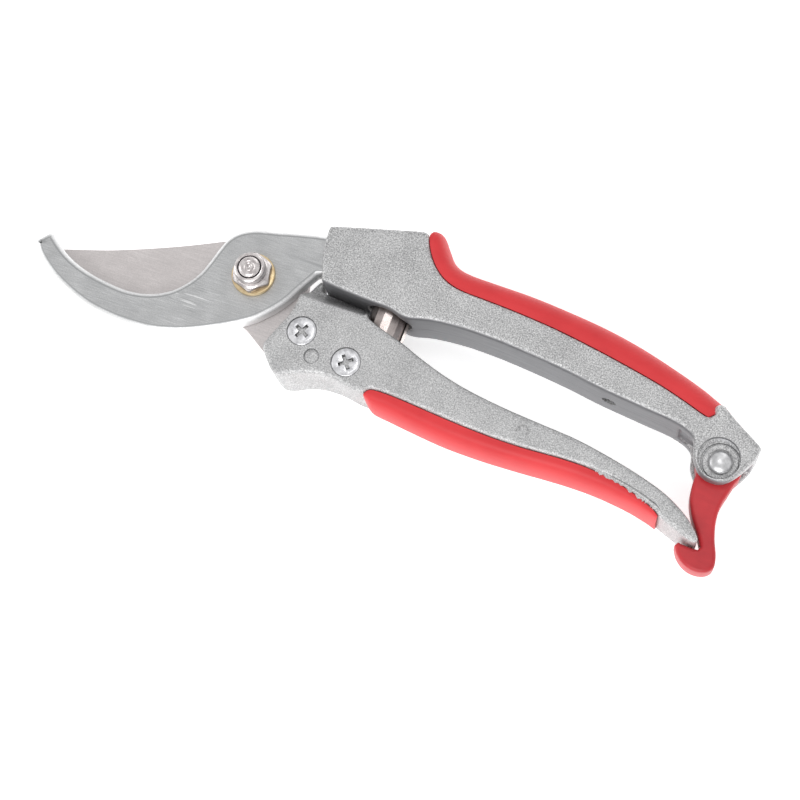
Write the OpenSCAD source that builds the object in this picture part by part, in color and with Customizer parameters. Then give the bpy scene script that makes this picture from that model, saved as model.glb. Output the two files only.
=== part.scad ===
// Bypass pruning shears, lying flat with the nut side up.
// X runs from the pivot towards the handle ends, Y across, Z up from the rest plane.
// The origin is on the pivot axis, at the outer face of the bolt's head.
// The shears are drawn closed, with the catch hooked over the lower handle's tail.

/* [Handles] */
// Depth of both handle castings, which is their height when the shears lie flat
handle_depth = 18; // [17.5:0.5:20]
// Radius worked onto the long edges of the castings
handle_edge = 1.2; // [0.6:0.1:1.5]
// Height of the rib that each grip is moulded over
rib_height = 10; // [8:0.5:11]
// How far the rib reaches into the grip, as a share of the grip's thickness
rib_share = 0.42; // [0.3:0.01:0.5]
// Step from the castings' flat faces down to the grips
grip_step = 0.7; // [0.4:0.1:1.2]

/* [Blades] */
// Thickness of the cutting blade
blade_thick = 3.0; // [2.5:0.1:3.0]
// Width of the bevel ground on the rear of the cutting blade
bevel_width = 5.5; // [4:0.5:6]
// Thickness of the hooked counter blade
hook_thick = 4.0; // [3.6:0.1:4.0]
// Width of the chamfer along the counter blade's inner edge
hook_chamfer = 1.2; // [0.6:0.1:1.6]
// Running gap between the two blades
shear_gap = 0.1; // [0.05:0.01:0.15]

/* [Pivot] */
// Diameter of the pivot bolt
bolt_d = 6.0; // [5:0.5:6]
// Distance across the flats of the bolt's head and the nut
hex_af = 10.0; // [9:0.5:11]
// Height of the bolt's head
bolt_head_h = 4.0; // [3.6:0.1:4]
// Outside diameter of both washers
washer_d = 12.0; // [11:0.5:13]
// Thickness of the nut's washer
nut_washer_t = 1.2; // [1:0.1:1.6]
// Overall height of the lock nut
nut_h = 5.8; // [5.5:0.1:6.2]
// Radial clearance of the blade and the catch on their pins
running_fit = 0.05; // [0.02:0.01:0.08]

/* [Spring] */
// Outside diameter of the volute spring
spring_d = 12.2; // [11:0.1:12.4]
// Length of the closed spring along its axis
spring_len = 17.0; // [16:0.5:17]
// Thickness of the spring's strip
spring_strip = 0.7; // [0.5:0.05:0.8]
// Distance from one turn of the strip to the next
spring_pitch = 1.05; // [0.95:0.05:1.2]
// Number of turns in the strip
spring_turns = 3.5; // [3:0.5:4]
// Clearance around the spring in its two pockets
pocket_gap = 0.35; // [0.2:0.05:0.5]

/* [Catch] */
// Thickness of the catch
catch_thick = 8.8; // [8:0.1:9]
// Diameter of the rivet that the catch turns on
rivet_d = 4.0; // [3:0.5:4.5]
// Diameter of the rivet's domed head
rivet_head_d = 6.2; // [5.5:0.1:7]
// Radius of the round seat sunk around the rivet's head
seat_r = 5.4; // [5:0.1:5.8]
// Depth of that seat
seat_depth = 1.5; // [0.6:0.1:1.5]

/* [Fasteners] */
// Diameter of the countersunk heads of the blade screws
screw_head_d = 8.0; // [7:0.5:8.5]
// Diameter of the threads of the blade screws
screw_d = 5.0; // [4:0.5:5]
// Diameter of the pin that locates the blade
pin_d = 4.1; // [3.5:0.1:4.5]
// Diameter of the pin through the lower grip's lug
grip_pin_d = 3.6; // [3:0.1:4]

/* [Hidden] */
$fn = 48;

cast_colour = [0.70, 0.71, 0.72];
steel_colour = [0.76, 0.75, 0.75];
zinc_colour = [0.84, 0.85, 0.86];
red_colour = [0.88, 0.25, 0.27];
catch_colour = [0.80, 0.24, 0.27];

middle = handle_depth / 2;
blade_top = middle - 0.5;
blade_bottom = blade_top - blade_thick;
hook_bottom = blade_top + shear_gap;
hook_top = hook_bottom + hook_thick;
nut_bottom = hook_top + nut_washer_t;
nut_top = nut_bottom + nut_h;
hex_top = nut_bottom + 0.72 * nut_h;
insert_w = 0.6;
insert_bottom = hex_top - 0.4;
insert_top = nut_top - 0.3;
bolt_end = nut_top + 0.8;
bolt_r = bolt_d / 2;

spring_x = 39;
spring_high = 7.5;
spring_low = spring_high - spring_len;
pocket_r = spring_d / 2 + pocket_gap;

rivet_at = [134.6, -10];
rivet_rear_h = 1;
ear = 4.2;
slot_bottom = ear;
slot_top = handle_depth - ear + 0.1;
catch_bottom = slot_bottom + 0.2;
catch_top = catch_bottom + catch_thick;
catch_head_r = 6.0;
catch_edge = 0.8;
lip_r = 22.6;

blade_screws_at = [[19.7, -11.9], [34.0, -16.2]];
hook_screws_at = [[24.0, 13.6], [34.0, 12.2]];
locating_pin_at = [24.7, -17.6];
lower_lug_at = [84.4, -19.0];
screw_rim = 0.5;
screw_cone = 1.7;
cross_recess = [4.4, 0.9, 2.6];
upper_screw_x = 102.1;
upper_lug_w = 6;
lower_lug_w = 8;
lug_h = 5;
lug_gap = 0.2;
grip_screw_r = 1.25;
grip_screw_head_r = 1.85;
hook_tang_end = 40;
hook_tang_low = 8.6;

// One point of the smooth curve through b and c, with a and d as their neighbours.
function between(a, b, c, d, t) =
    0.5 * (2 * b + (c - a) * t + (2 * a - 5 * b + 4 * c - d) * t * t
        + (3 * b - a - 3 * c + d) * t * t * t);

// A smooth open curve through all the points.
function smooth(points, steps = 3) = [
    for (i = [0 : len(points) - 2], k = [0 : steps - 1])
        between(points[max(i - 1, 0)], points[i], points[i + 1],
            points[min(i + 2, len(points) - 1)], k / steps),
    points[len(points) - 1]
];

function flipped(points) = [for (i = [len(points) - 1 : -1 : 0]) points[i]];

// Points on an arc, from one angle to another.
function arc(centre, r, from, to, steps = 8) = [
    for (k = [0 : steps])
        let (angle = from + (to - from) * k / steps) centre + r * [cos(angle), sin(angle)]
];

// The inward direction at a point of an outline that runs counter-clockwise.
function inward(points, i) =
    let (n = len(points), along = points[(i + 1) % n] - points[(i + n - 1) % n])
        [-along[1], along[0]] / norm(along);

// How far a point of an outline may be drawn in: a share of the radius where it bends outwards.
function room(points, i) =
    let (n = len(points), a = points[(i + n - 1) % n], b = points[i], c = points[(i + 1) % n],
        turn = turn_of(a, b, c))
        turn <= 0 ? 1000 : 0.3 * norm(b - a) * norm(c - b) * norm(c - a) / turn;

// Twice the area of the triangle a, b, c: positive where it turns to the left.
function turn_of(a, b, c) = (b[0] - a[0]) * (c[1] - a[1]) - (b[1] - a[1]) * (c[0] - a[0]);

function covers(a, b, c, p) = turn_of(a, b, p) > 0 && turn_of(b, c, p) > 0 && turn_of(c, a, p) > 0;

// Whether the corner at place k of the ring can be cut off without leaving the outline.
function is_ear(points, ring, k) =
    let (n = len(ring), a = points[ring[(k + n - 1) % n]], b = points[ring[k]], c = points[ring[(k + 1) % n]])
        turn_of(a, b, c) > 1e-6 && len([for (i = ring) if (covers(a, b, c, points[i])) i]) == 0;

function first_ear(points, ring, k = 0) =
    k >= len(ring) - 1 || is_ear(points, ring, k) ? k : first_ear(points, ring, k + 1);

// The triangles that fill an outline with hollows in it, one corner cut off at a time.
function filled(points, ring) =
    len(ring) == 3 ? [ring]
    : let (n = len(ring), k = first_ear(points, ring))
        concat([[ring[(k + n - 1) % n], ring[k], ring[(k + 1) % n]]],
            filled(points, [for (i = [1 : n - 1]) ring[(k + i) % n]]));

// A solid with flat ends whose outline is drawn in at each level: levels are [z, inset],
// and share says how much of the inset each point takes.
module shaped_plate(points, levels, share = []) {
    n = len(points);
    m = len(levels);
    all = [for (i = [0 : n - 1]) i];
    rings = [
        for (level = levels) [
            for (i = all)
                let (by = level[1] * (len(share) > 0 ? share[i] : 1))
                    points[i] + min(by, room(points, i)) * inward(points, i)
        ]
    ];
    sides = [
        for (j = [0 : m - 2], i = all)
            let (low = j * n, high = low + n, next = (i + 1) % n)
                each [[low + i, high + i, high + next], [low + i, high + next, low + next]]
    ];
    polyhedron(
        [for (j = [0 : m - 1], p = rings[j]) [p[0], p[1], levels[j][0]]],
        concat(filled(rings[0], all), sides,
            [for (t = filled(rings[m - 1], all)) [for (i = flipped(t)) (m - 1) * n + i]]));
}

// A plate whose top and bottom edges are both rounded.
module rounded_plate(points, low, high, edge) {
    shaped_plate(points, [[low, edge], [low + 0.3 * edge, 0.3 * edge], [low + edge, 0],
        [high - edge, 0], [high - 0.3 * edge, 0.3 * edge], [high, edge]]);
}

module flat(points, low, high) {
    translate([0, 0, low]) linear_extrude(high - low) polygon(points);
}

module rod(at, r, low, high) {
    translate([at[0], at[1], low]) cylinder(r = r, h = high - low);
}

module ring(at, r_in, r_out, low, high) {
    difference() {
        rod(at, r_out, low, high);
        rod(at, r_in, low - 1, high + 1);
    }
}

// A rod along Y at the middle depth.
module cross_rod(x, r, low, high) {
    translate([x, high, middle]) rotate([90, 0, 0]) cylinder(r = r, h = high - low);
}

/* Outlines of the castings and the grips */

// Upper handle: the line between casting and grip, and the grip's outermost line.
upper_seam = smooth([[42.6, 24.6], [43.6, 22.0], [45.2, 19.2], [47.8, 16.2], [51.2, 13.8], [56.0, 12.4],
    [64.0, 11.9], [74.0, 11.2], [84.0, 10.1], [94.0, 8.5], [104.0, 6.6], [114.0, 4.4], [121.5, 2.2],
    [126.0, 0.7], [128.1, 0.2]]);
upper_outer = smooth([[43.4, 27.9], [46.0, 26.9], [48.4, 24.0], [50.9, 21.0], [53.6, 19.5], [57.4, 18.9],
    [64.6, 18.7], [74.6, 18.4], [85.0, 17.5], [95.6, 16.2], [106.0, 14.1], [116.2, 11.2], [124.4, 8.5],
    [129.4, 6.4], [132.6, 5.0]]);

// Lower handle: the same two lines.
lower_seam = smooth([[41.2, -22.6], [42.8, -21.0], [48.0, -20.8], [56.0, -21.4], [65.0, -22.2], [75.0, -22.8],
    [85.0, -22.9], [95.0, -22.4], [103.0, -22.4], [110.0, -23.3], [116.5, -25.0], [121.8, -27.0],
    [124.0, -28.4]]);
lower_outer = smooth([[41.6, -23.6], [43.6, -24.8], [48.4, -25.5], [56.0, -26.5], [65.0, -27.4], [75.0, -27.6],
    [85.0, -27.3], [95.0, -26.8], [103.0, -26.7], [110.0, -27.1], [116.5, -27.9], [121.4, -28.9],
    [123.8, -29.5]]);

upper_handle_outline = concat(
    smooth([[16.0, 18.3], [16.5, 13.0], [17.7, 8.4], [19.4, 3.2]]),
    smooth([[20.2, 2.9], [27.0, 2.2], [34.5, 1.7], [39.4, 1.5], [44.6, 0.4], [51.0, 1.7], [60.0, 2.4],
        [70.0, 2.1], [80.0, 1.2], [90.0, 0.0], [100.0, -1.6], [112.0, -3.0], [121.0, -4.1], [126.2, -6.4],
        [127.6, -10.8], [130.4, -14.4], [134.0, -15.5], [137.4, -14.5], [140.4, -11.0], [142.6, -7.0]]),
    [[143.4, -3.4], [142.6, -2.7]],
    smooth([[139.6, -0.9], [136.0, 1.2], [132.4, 3.6]]),
    flipped(upper_seam),
    [[41.6, 25.0], [40.4, 24.9], [29.0, 22.0], [17.2, 18.9]]);

lower_handle_outline = concat(
    smooth([[19.6, 2.5], [17.4, 2.5], [15.6, 2.0], [15.0, 0.0], [15.2, -3.4], [14.8, -7.4], [13.4, -11.4],
        [11.5, -16.4], [11.0, -18.9], [12.8, -21.5], [15.2, -24.1]]),
    smooth([[17.2, -25.1], [19.8, -24.6], [23.0, -23.0], [27.5, -21.7], [33.0, -21.6], [38.6, -22.5]]),
    lower_seam,
    smooth([[126.4, -29.4], [130.4, -30.9], [133.2, -32.0]]),
    smooth([[134.8, -32.1], [135.4, -31.1], [133.8, -28.9], [130.4, -25.9], [124.0, -22.4], [116.0, -19.8],
        [107.0, -17.7], [98.0, -16.1], [88.0, -15.2], [78.0, -14.3], [68.0, -12.9], [60.0, -11.1],
        [52.0, -8.5], [46.6, -6.4], [40.0, -4.4], [35.2, -2.6]]),
    [[34.4, -1.4], [33.6, 0.9]]);

// The shoulder of the lower handle, which slopes from its face down to the blade's plane.
/* Low spur of the lower casting, under the counter blade and clear of the upper block as it turns */
spur_outline = [[15.1, -3.0], [15.2, 0.6], [15.9, 3.2], [17.0, 5.3], [17.7, 5.6], [18.2, 4.6], [18.7, 2.2],
    [18.7, -3.0]];
spur_gap = 0.3;

shoulder_foot = 1.4;
shoulder_head = -2.6;
shoulder_from = 5;
shoulder_to = 34.4;

/* Outlines of the two blades */

hook_outer = smooth([[-62.4, -9.4], [-60.2, -12.6], [-55.2, -16.5], [-49.0, -19.7], [-42.0, -22.2],
    [-35.0, -23.4], [-28.0, -23.7], [-21.0, -23.2], [-14.0, -21.4], [-7.6, -18.7], [-1.4, -15.5], [4.0, -12.1],
    [8.0, -8.2], [11.2, -4.0], [13.6, 0.6], [16.4, 5.6]]);
hook_inner = smooth([[16.4, 17.3], [9.4, 16.0], [2.0, 14.2], [-4.6, 12.6], [-8.4, 10.6], [-10.9, 7.8],
    [-12.3, 4.0], [-13.4, 0.0], [-14.8, -4.0], [-17.2, -7.8], [-20.6, -11.2], [-25.4, -13.7], [-31.4, -14.9],
    [-37.8, -14.6], [-44.0, -13.6], [-49.6, -11.9], [-54.4, -9.4], [-58.4, -6.4]]);
hook_tang = [[21, hook_tang_low], [hook_tang_end, hook_tang_low], [hook_tang_end, 16.4], [24, 17.0]];
hook_outline = concat(hook_outer, hook_tang, hook_inner, [[-59.9, -6.3]]);
hook_share = concat([for (p = hook_outer) 0.35], [0, 0, 0, 0], [for (p = hook_inner) 1], [1.3]);

blade_disc_r = 14.6;
blade_edge = smooth([[-55.8, -9.9], [-50.6, -13.1], [-44.0, -15.7], [-37.0, -17.0], [-30.0, -17.0],
    [-23.4, -15.9], [-17.0, -14.2], [-11.6, -13.4]]);
blade_heel = smooth([[-6.0, -13.9], [-2.0, -14.0], [1.6, -13.9], [5.0, -15.7], [9.0, -18.2], [13.0, -20.2],
    [20.0, -20.6], [29.0, -20.2], [38.0, -20.0]]);
blade_tang = [[40.5, -18.5], [40.5, -12.5], [30, -9.2], [18.5, -5.4]];
blade_spine = smooth([[-12.2, 8.0], [-22.0, 3.4], [-32.0, -0.8], [-42.0, -4.6], [-50.0, -7.1]]);
blade_outline = concat(blade_edge, blade_heel, blade_tang, arc([0, 0], blade_disc_r, -12, 140, 20), blade_spine,
    [[-55.4, -8.7]]);
blade_share = concat([for (i = [0 : len(blade_edge) - 1]) min(1, 0.15 + 0.1 * i)], [0.6, 0.3],
    [for (i = [2 : len(blade_heel) + len(blade_tang) + 20 + len(blade_spine)]) 0], [0.1]);

/* Outline of the catch */

catch_stem_left = smooth([[129.6, -13.4], [129.6, -17.4], [130.4, -21.4], [132.4, -25.4], [135.0, -29.0],
    [136.5, -31.6]]);
catch_outline = concat(
    catch_stem_left,
    arc(rivet_at, lip_r, -86.2, -99.5, 4),
    smooth([[130.2, -33.3], [131.6, -35.6], [134.2, -37.5], [137.2, -38.1], [139.9, -37.4], [141.3, -35.6],
        [140.9, -32.6], [139.4, -28.8], [138.3, -24.6], [138.1, -20.2], [139.0, -16.0]]),
    arc(rivet_at, catch_head_r, -32, 210, 20));

// The grip's section at one place along the handle, from its seam to its outermost point.
function grip_section(seam, outer, size) =
    let (width = norm(outer - seam) - 0.1, out = (outer - seam) / norm(outer - seam),
        high = (middle - grip_step) * (0.75 + 0.25 * size), start = seam + 0.1 * out)
        [
            for (k = [0 : 10])
                let (a = -90 + 18 * k, reach = width * pow(abs(cos(a)), 0.7) * size)
                    [start[0] + out[0] * reach, start[1] + out[1] * reach,
                        middle + high * sign(a) * pow(abs(sin(a)), 0.85)]
        ];

// A grip before its channel is cut: sections along the handle, joined into one body.
module grip_body(seam, outer, turn) {
    last = len(seam) - 1;
    sections = [
        for (i = [0 : last])
            grip_section(seam[i], outer[i], i == 0 ? 0.75 : i == 1 || i == last ? 0.93 : 1)
    ];
    m = len(sections[0]);
    skin = [
        for (j = [0 : last - 1], i = [0 : m - 1])
            let (near = j * m, far = near + m, next = (i + 1) % m)
                each [[near + i, far + i, far + next], [near + i, far + next, near + next]]
    ];
    ends = [
        for (i = [1 : m - 2])
            each [[0, i, i + 1], [last * m, last * m + i + 1, last * m + i]]
    ];
    faces = concat(skin, ends);
    polyhedron([for (s = sections) each s], turn ? [for (f = faces) flipped(f)] : faces);
}

// The rib under a grip, from inside the casting out to its share of the grip's thickness.
module rib(seam, outer, gap = 0) {
    last = len(seam) - 3;
    reach = [for (i = [2 : last]) seam[i] + (rib_share + gap / 6) * (outer[i] - seam[i])];
    root = [for (i = [2 : last]) seam[i] - 1.5 * (outer[i] - seam[i]) / norm(outer[i] - seam[i])];
    flat(concat(root, flipped(reach)), middle - rib_height / 2 - gap, middle + rib_height / 2 + gap);
}

// A grip's lug, which reaches through the rib into the casting.
module lug(x, wide, low, high, gap = 0) {
    translate([x - wide / 2 - gap, low - gap, middle - lug_h / 2 - gap])
        cube([wide + 2 * gap, high - low + 2 * gap, lug_h + 2 * gap]);
}

/* Upper body */

module catch_slot() {
    translate([0, 0, slot_bottom]) linear_extrude(slot_top - slot_bottom) {
        translate(rivet_at) circle(r = catch_head_r + 0.45);
        polygon([[121.9, -40], [121.9, -3.2], [127.5, -5.2], rivet_at + [0, 3], [150, -6.6], [150, -40]]);
    }
}

module upper_handle() {
    color(cast_colour) difference() {
        union() {
            rounded_plate(upper_handle_outline, 0, handle_depth, handle_edge);
            rib(upper_seam, upper_outer);
        }
        flat(hook_outline, hook_bottom, hook_top);
        catch_slot();
        rod(rivet_at, rivet_d / 2, -1, handle_depth + 1);
        rod(rivet_at, rivet_head_d / 2, -1, rivet_rear_h);
        rod(rivet_at + [-0.7, 0.7], seat_r, handle_depth - seat_depth, handle_depth + 1);
        cross_rod(spring_x, pocket_r, -5, spring_high);
        cross_rod(upper_screw_x, grip_screw_head_r + running_fit, -5, 1);
        cross_rod(upper_screw_x, grip_screw_r, 0, 12);
        lug(upper_screw_x, upper_lug_w, 5.0, 12.4, lug_gap);
        for (at = hook_screws_at) countersink(at, 0, 1);
    }
}

// The hole for a countersunk screw that enters a face at z = face and runs up (1) or down (-1).
module countersink(at, face, way, depth = 16) {
    translate([at[0], at[1], face]) scale([1, 1, way]) screw_solid(depth);
}

module screw_solid(depth) {
    head_r = screw_head_d / 2;
    cylinder(r = head_r, h = screw_rim);
    translate([0, 0, screw_rim]) cylinder(r1 = head_r, r2 = screw_d / 2, h = screw_cone);
    cylinder(r = screw_d / 2, h = depth);
}

// A countersunk screw with a cross recess in its head.
module cross_screw(at, face, way, depth) {
    difference() {
        countersink(at, face, way, depth);
        for (turn = [0, 90])
            translate([at[0], at[1], face]) rotate(turn + 8) cube(cross_recess, center = true);
    }
}

module upper_grip() {
    color(red_colour) difference() {
        union() {
            difference() {
                grip_body(upper_seam, upper_outer, false);
                rib(upper_seam, upper_outer, 0.15);
            }
            lug(upper_screw_x, upper_lug_w, 5.0, 12.4);
        }
        cross_rod(upper_screw_x, grip_screw_r, 0, 11);
    }
}

module upper_grip_screw() {
    head_face = -0.4;
    color(zinc_colour) {
        cross_rod(upper_screw_x, grip_screw_r, 0.9, 11);
        difference() {
            cross_rod(upper_screw_x, grip_screw_head_r, head_face, 1);
            translate([upper_screw_x, head_face, middle]) for (turn = [0, 90]) rotate([0, turn, 0])
                cube([2.2, 0.9, 0.5], center = true);
        }
    }
}

module counter_blade() {
    color(steel_colour) difference() {
        shaped_plate(hook_outline, [[hook_bottom, 0], [hook_top - hook_chamfer * 0.8, 0],
            [hook_top - hook_chamfer * 0.25, hook_chamfer * 0.4], [hook_top, hook_chamfer]], hook_share);
        rod([0, 0], bolt_r, 0, 20);
        for (at = hook_screws_at) rod(at, screw_d / 2, 0, 20);
    }
}

module counter_blade_screws() {
    color(zinc_colour) for (at = hook_screws_at) cross_screw(at, 0, 1, 15.5);
}

module hexagon(low, high) {
    translate([0, 0, low]) cylinder(r = hex_af / sqrt(3), h = high - low, $fn = 6);
}

module pivot_bolt() {
    flat_r = hex_af / 2;
    end_chamfer = 0.5;
    color(zinc_colour) {
        intersection() {
            hexagon(0, bolt_head_h);
            union() {
                cylinder(r1 = flat_r - 0.1, r2 = flat_r + 0.9, h = 0.6);
                translate([0, 0, 0.6]) cylinder(r = flat_r + 0.9, h = bolt_head_h);
            }
        }
        rod([0, 0], bolt_r, bolt_head_h / 2, bolt_end - end_chamfer);
        translate([0, 0, bolt_end - end_chamfer]) cylinder(r1 = bolt_r, r2 = bolt_r - 0.7, h = end_chamfer);
    }
}

module bolt_head_washer() {
    color(zinc_colour) ring([0, 0], bolt_r, washer_d / 2, bolt_head_h, blade_bottom - shear_gap);
}

module nut_washer() {
    color([0.86, 0.76, 0.55]) ring([0, 0], bolt_r, washer_d / 2, hook_top, nut_bottom);
}

module lock_nut() {
    flat_r = hex_af / 2;
    collar_r = flat_r - 0.7;
    high = hex_top - nut_bottom;
    color(zinc_colour) difference() {
        union() {
            intersection() {
                hexagon(nut_bottom, hex_top);
                translate([0, 0, nut_bottom]) rotate_extrude() polygon([[0, 0], [flat_r + 0.2, 0],
                    [flat_r + 0.9, 0.4], [flat_r + 0.9, high - 0.9], [flat_r - 0.4, high], [0, high]]);
            }
            rod([0, 0], collar_r, nut_bottom + 1, nut_top - 0.5);
            translate([0, 0, nut_top - 0.5]) cylinder(r1 = collar_r, r2 = collar_r - 0.5, h = 0.5);
        }
        rod([0, 0], bolt_r, 0, 30);
        rod([0, 0], bolt_r + insert_w, insert_bottom, insert_top);
        rod([0, 0], bolt_r + insert_w / 2, hex_top, nut_top + 1);
    }
}

module nut_insert() {
    color([0.20, 0.22, 0.26]) ring([0, 0], bolt_r, bolt_r + insert_w, insert_bottom, insert_top);
}

// A spiral that winds inwards from radius r.
function spiral(r) = [
    for (i = [0 : round(spring_turns * 24)])
        let (turn = i / 24) (r - max(0, turn - 0.08) * spring_pitch) * [cos(360 * turn), sin(360 * turn)]
];

// The closed volute spring: a strip wound into a spiral, standing along Y.
module volute_spring() {
    outer_r = spring_d / 2;
    color([0.62, 0.58, 0.55]) translate([spring_x, spring_high, middle]) rotate([90, 0, 0])
        linear_extrude(spring_len)
            polygon(concat(spiral(outer_r), flipped(spiral(outer_r - spring_strip))));
}

module catch_rivet() {
    head_r = rivet_head_d / 2;
    seat = handle_depth - seat_depth;
    dome = 1.6;
    dome_r = (head_r * head_r + dome * dome) / (2 * dome);
    color(cast_colour) {
        rod(rivet_at, rivet_d / 2, 0, seat + 0.2);
        rod(rivet_at, head_r, 0, rivet_rear_h);
        intersection() {
            rod(rivet_at, head_r, seat, seat + dome + 1);
            translate([rivet_at[0], rivet_at[1], seat + dome - dome_r]) sphere(r = dome_r);
        }
    }
}

module catch_wave_washer() {
    color(zinc_colour) ring(rivet_at, rivet_d / 2, 4.6, catch_top + 0.1, slot_top);
}

/* Lower body */

module lower_handle() {
    color(cast_colour) difference() {
        union() {
            rounded_plate(lower_handle_outline, 0, handle_depth, handle_edge);
            flat(spur_outline, handle_edge, hook_bottom - spur_gap);
            rib(lower_seam, lower_outer);
        }
        shoulder_cut();
        flat(blade_outline, blade_bottom, blade_top);
        cross_rod(spring_x, pocket_r, spring_low, 5);
        for (at = blade_screws_at) countersink(at, handle_depth, -1);
        rod(locating_pin_at, pin_d / 2, blade_bottom, handle_depth + 1);
        rod(lower_lug_at, grip_pin_d / 2, 3, handle_depth + 1);
        lug(lower_lug_at[0], lower_lug_w, -30, -16, lug_gap);
    }
}

// The wedge cut away above the shoulder, and the step that lets the shoulder pass the counter blade.
module shoulder_cut() {
    floor_z = blade_top + 2 * shear_gap;
    above = handle_depth + 2;
    rotate([90, 0, 90]) translate([0, 0, shoulder_from]) linear_extrude(shoulder_to - shoulder_from)
        polygon([[shoulder_head, handle_depth], [shoulder_foot, floor_z], [6, floor_z], [6, above],
            [shoulder_head, above]]);
}

module lower_grip() {
    color(red_colour) difference() {
        union() {
            difference() {
                grip_body(lower_seam, lower_outer, true);
                rib(lower_seam, lower_outer, 0.15);
            }
            lug(lower_lug_at[0], lower_lug_w, -26, -16);
        }
        rod(lower_lug_at, grip_pin_d / 2, 0, handle_depth + 1);
    }
}

module lower_grip_pin() {
    color(cast_colour) rod(lower_lug_at, grip_pin_d / 2, 3, handle_depth - 0.05);
}

module cutting_blade() {
    color(steel_colour) difference() {
        shaped_plate(blade_outline, [[blade_bottom, bevel_width], [blade_top - 0.3, 0], [blade_top, 0]], blade_share);
        rod([0, 0], bolt_r + running_fit, 0, 20);
        for (at = blade_screws_at) rod(at, screw_d / 2, 0, 20);
        rod(locating_pin_at, pin_d / 2, 0, 20);
    }
}

module blade_screws() {
    color(zinc_colour) for (at = blade_screws_at) cross_screw(at, handle_depth, -1, handle_depth - blade_bottom);
}

module locating_pin() {
    color(cast_colour) rod(locating_pin_at, pin_d / 2, blade_bottom, handle_depth - 0.2);
}

/* Catch */

module safety_catch() {
    color(catch_colour) difference() {
        shaped_plate(catch_outline, [[catch_bottom, 1.4], [catch_bottom + 0.5, 0.5], [catch_bottom + 1.6, 0],
            [catch_top - catch_edge, 0], [catch_top - 0.3 * catch_edge, 0.3 * catch_edge],
            [catch_top, catch_edge]]);
        rod(rivet_at, rivet_d / 2 + running_fit, 0, 20);
    }
}

upper_handle();
upper_grip();
counter_blade();
counter_blade_screws();
pivot_bolt();
bolt_head_washer();
nut_washer();
lock_nut();
nut_insert();
volute_spring();
catch_rivet();
catch_wave_washer();
upper_grip_screw();
lower_handle();
lower_grip();
cutting_blade();
blade_screws();
locating_pin();
lower_grip_pin();
safety_catch();
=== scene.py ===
"""Bypass pruning shears: two die-cast handles with moulded grips, a hooked counter blade,
a cutting blade, a bolted pivot, a volute spring and a safety catch.

Lengths in this file are in millimetres until a mesh is made, which is in metres.
"""

import logging
import math
import random
from dataclasses import dataclass, field
from enum import Enum
from typing import Callable, Optional, Sequence, Union

import bmesh
import bpy
from mathutils import Matrix, Vector
from mathutils.geometry import tessellate_polygon


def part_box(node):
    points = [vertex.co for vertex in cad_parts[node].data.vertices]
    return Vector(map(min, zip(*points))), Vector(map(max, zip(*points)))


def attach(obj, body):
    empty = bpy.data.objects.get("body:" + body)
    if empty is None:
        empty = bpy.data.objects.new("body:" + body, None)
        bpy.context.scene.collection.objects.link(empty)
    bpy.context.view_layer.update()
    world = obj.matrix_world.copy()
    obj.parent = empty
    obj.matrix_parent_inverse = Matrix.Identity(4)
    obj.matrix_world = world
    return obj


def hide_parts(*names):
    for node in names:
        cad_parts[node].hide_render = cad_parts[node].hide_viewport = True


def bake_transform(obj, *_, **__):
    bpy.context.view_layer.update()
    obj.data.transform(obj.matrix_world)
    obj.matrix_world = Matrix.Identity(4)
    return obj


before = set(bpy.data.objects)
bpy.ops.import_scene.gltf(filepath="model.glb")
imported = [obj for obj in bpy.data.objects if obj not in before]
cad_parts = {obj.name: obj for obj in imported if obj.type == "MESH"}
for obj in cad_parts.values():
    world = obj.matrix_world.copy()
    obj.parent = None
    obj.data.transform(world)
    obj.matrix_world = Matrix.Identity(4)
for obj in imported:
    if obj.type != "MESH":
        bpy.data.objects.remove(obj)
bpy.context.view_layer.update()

# One millimetre in metres.
MM = 0.001
# The width of the level ring just inside the edge of a flat cap, which keeps the chamfer's shading off the cap.
LEVEL_RIM = 0.06
# How far the floor lies under the rest plane.
FLOOR_DROP = 0.3
# The point that the lights face.
LIT_POINT = (40, 0, 0)
# The width of the camera's sensor.
SENSOR_WIDTH = 36
log = logging.getLogger("pruning_shears")

Point = tuple[float, float]
Outline = list[Point]
Place = tuple[float, float, float]
Colour = tuple[float, float, float]


class Body(Enum):
    """The bodies that a piece can ride on."""

    UPPER = "upper"
    LOWER = "lower"
    CATCH = "catch"


class Side(Enum):
    """The side of the shears that a fastener's head is on."""

    NUT = 1
    REAR = -1


# ---------------------------------------------------------------- outlines


def smooth(points: Sequence[Point], steps: int = 6) -> Outline:
    """Lays a smooth open curve through points.

    Args:
        points: the points that the curve goes through.
        steps: the number of points laid on each stretch.

    Returns:
        The points of the curve, both ends included.
    """
    last = len(points) - 1
    laid: Outline = []
    for i in range(last):
        a, b, c, d = (points[max(i - 1, 0)], points[i], points[i + 1], points[min(i + 2, last)])
        for k in range(steps):
            t = k / steps
            laid.append(tuple(
                0.5 * (2 * b[n] + (c[n] - a[n]) * t + (2 * a[n] - 5 * b[n] + 4 * c[n] - d[n]) * t * t
                       + (3 * b[n] - a[n] - 3 * c[n] + d[n]) * t ** 3)
                for n in range(2)))
    laid.append(tuple(points[last]))
    return laid


def arc(centre: Point, radius: float, start: float, stop: float, steps: int = 12) -> Outline:
    """Lays points on an arc.

    Args:
        centre: the arc's centre.
        radius: its radius.
        start: the angle of its first point, in degrees.
        stop: the angle of its last point.
        steps: the number of stretches between points.

    Returns:
        The points of the arc.
    """
    angles = [math.radians(start + (stop - start) * k / steps) for k in range(steps + 1)]
    return [(centre[0] + radius * math.cos(a), centre[1] + radius * math.sin(a)) for a in angles]


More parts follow.
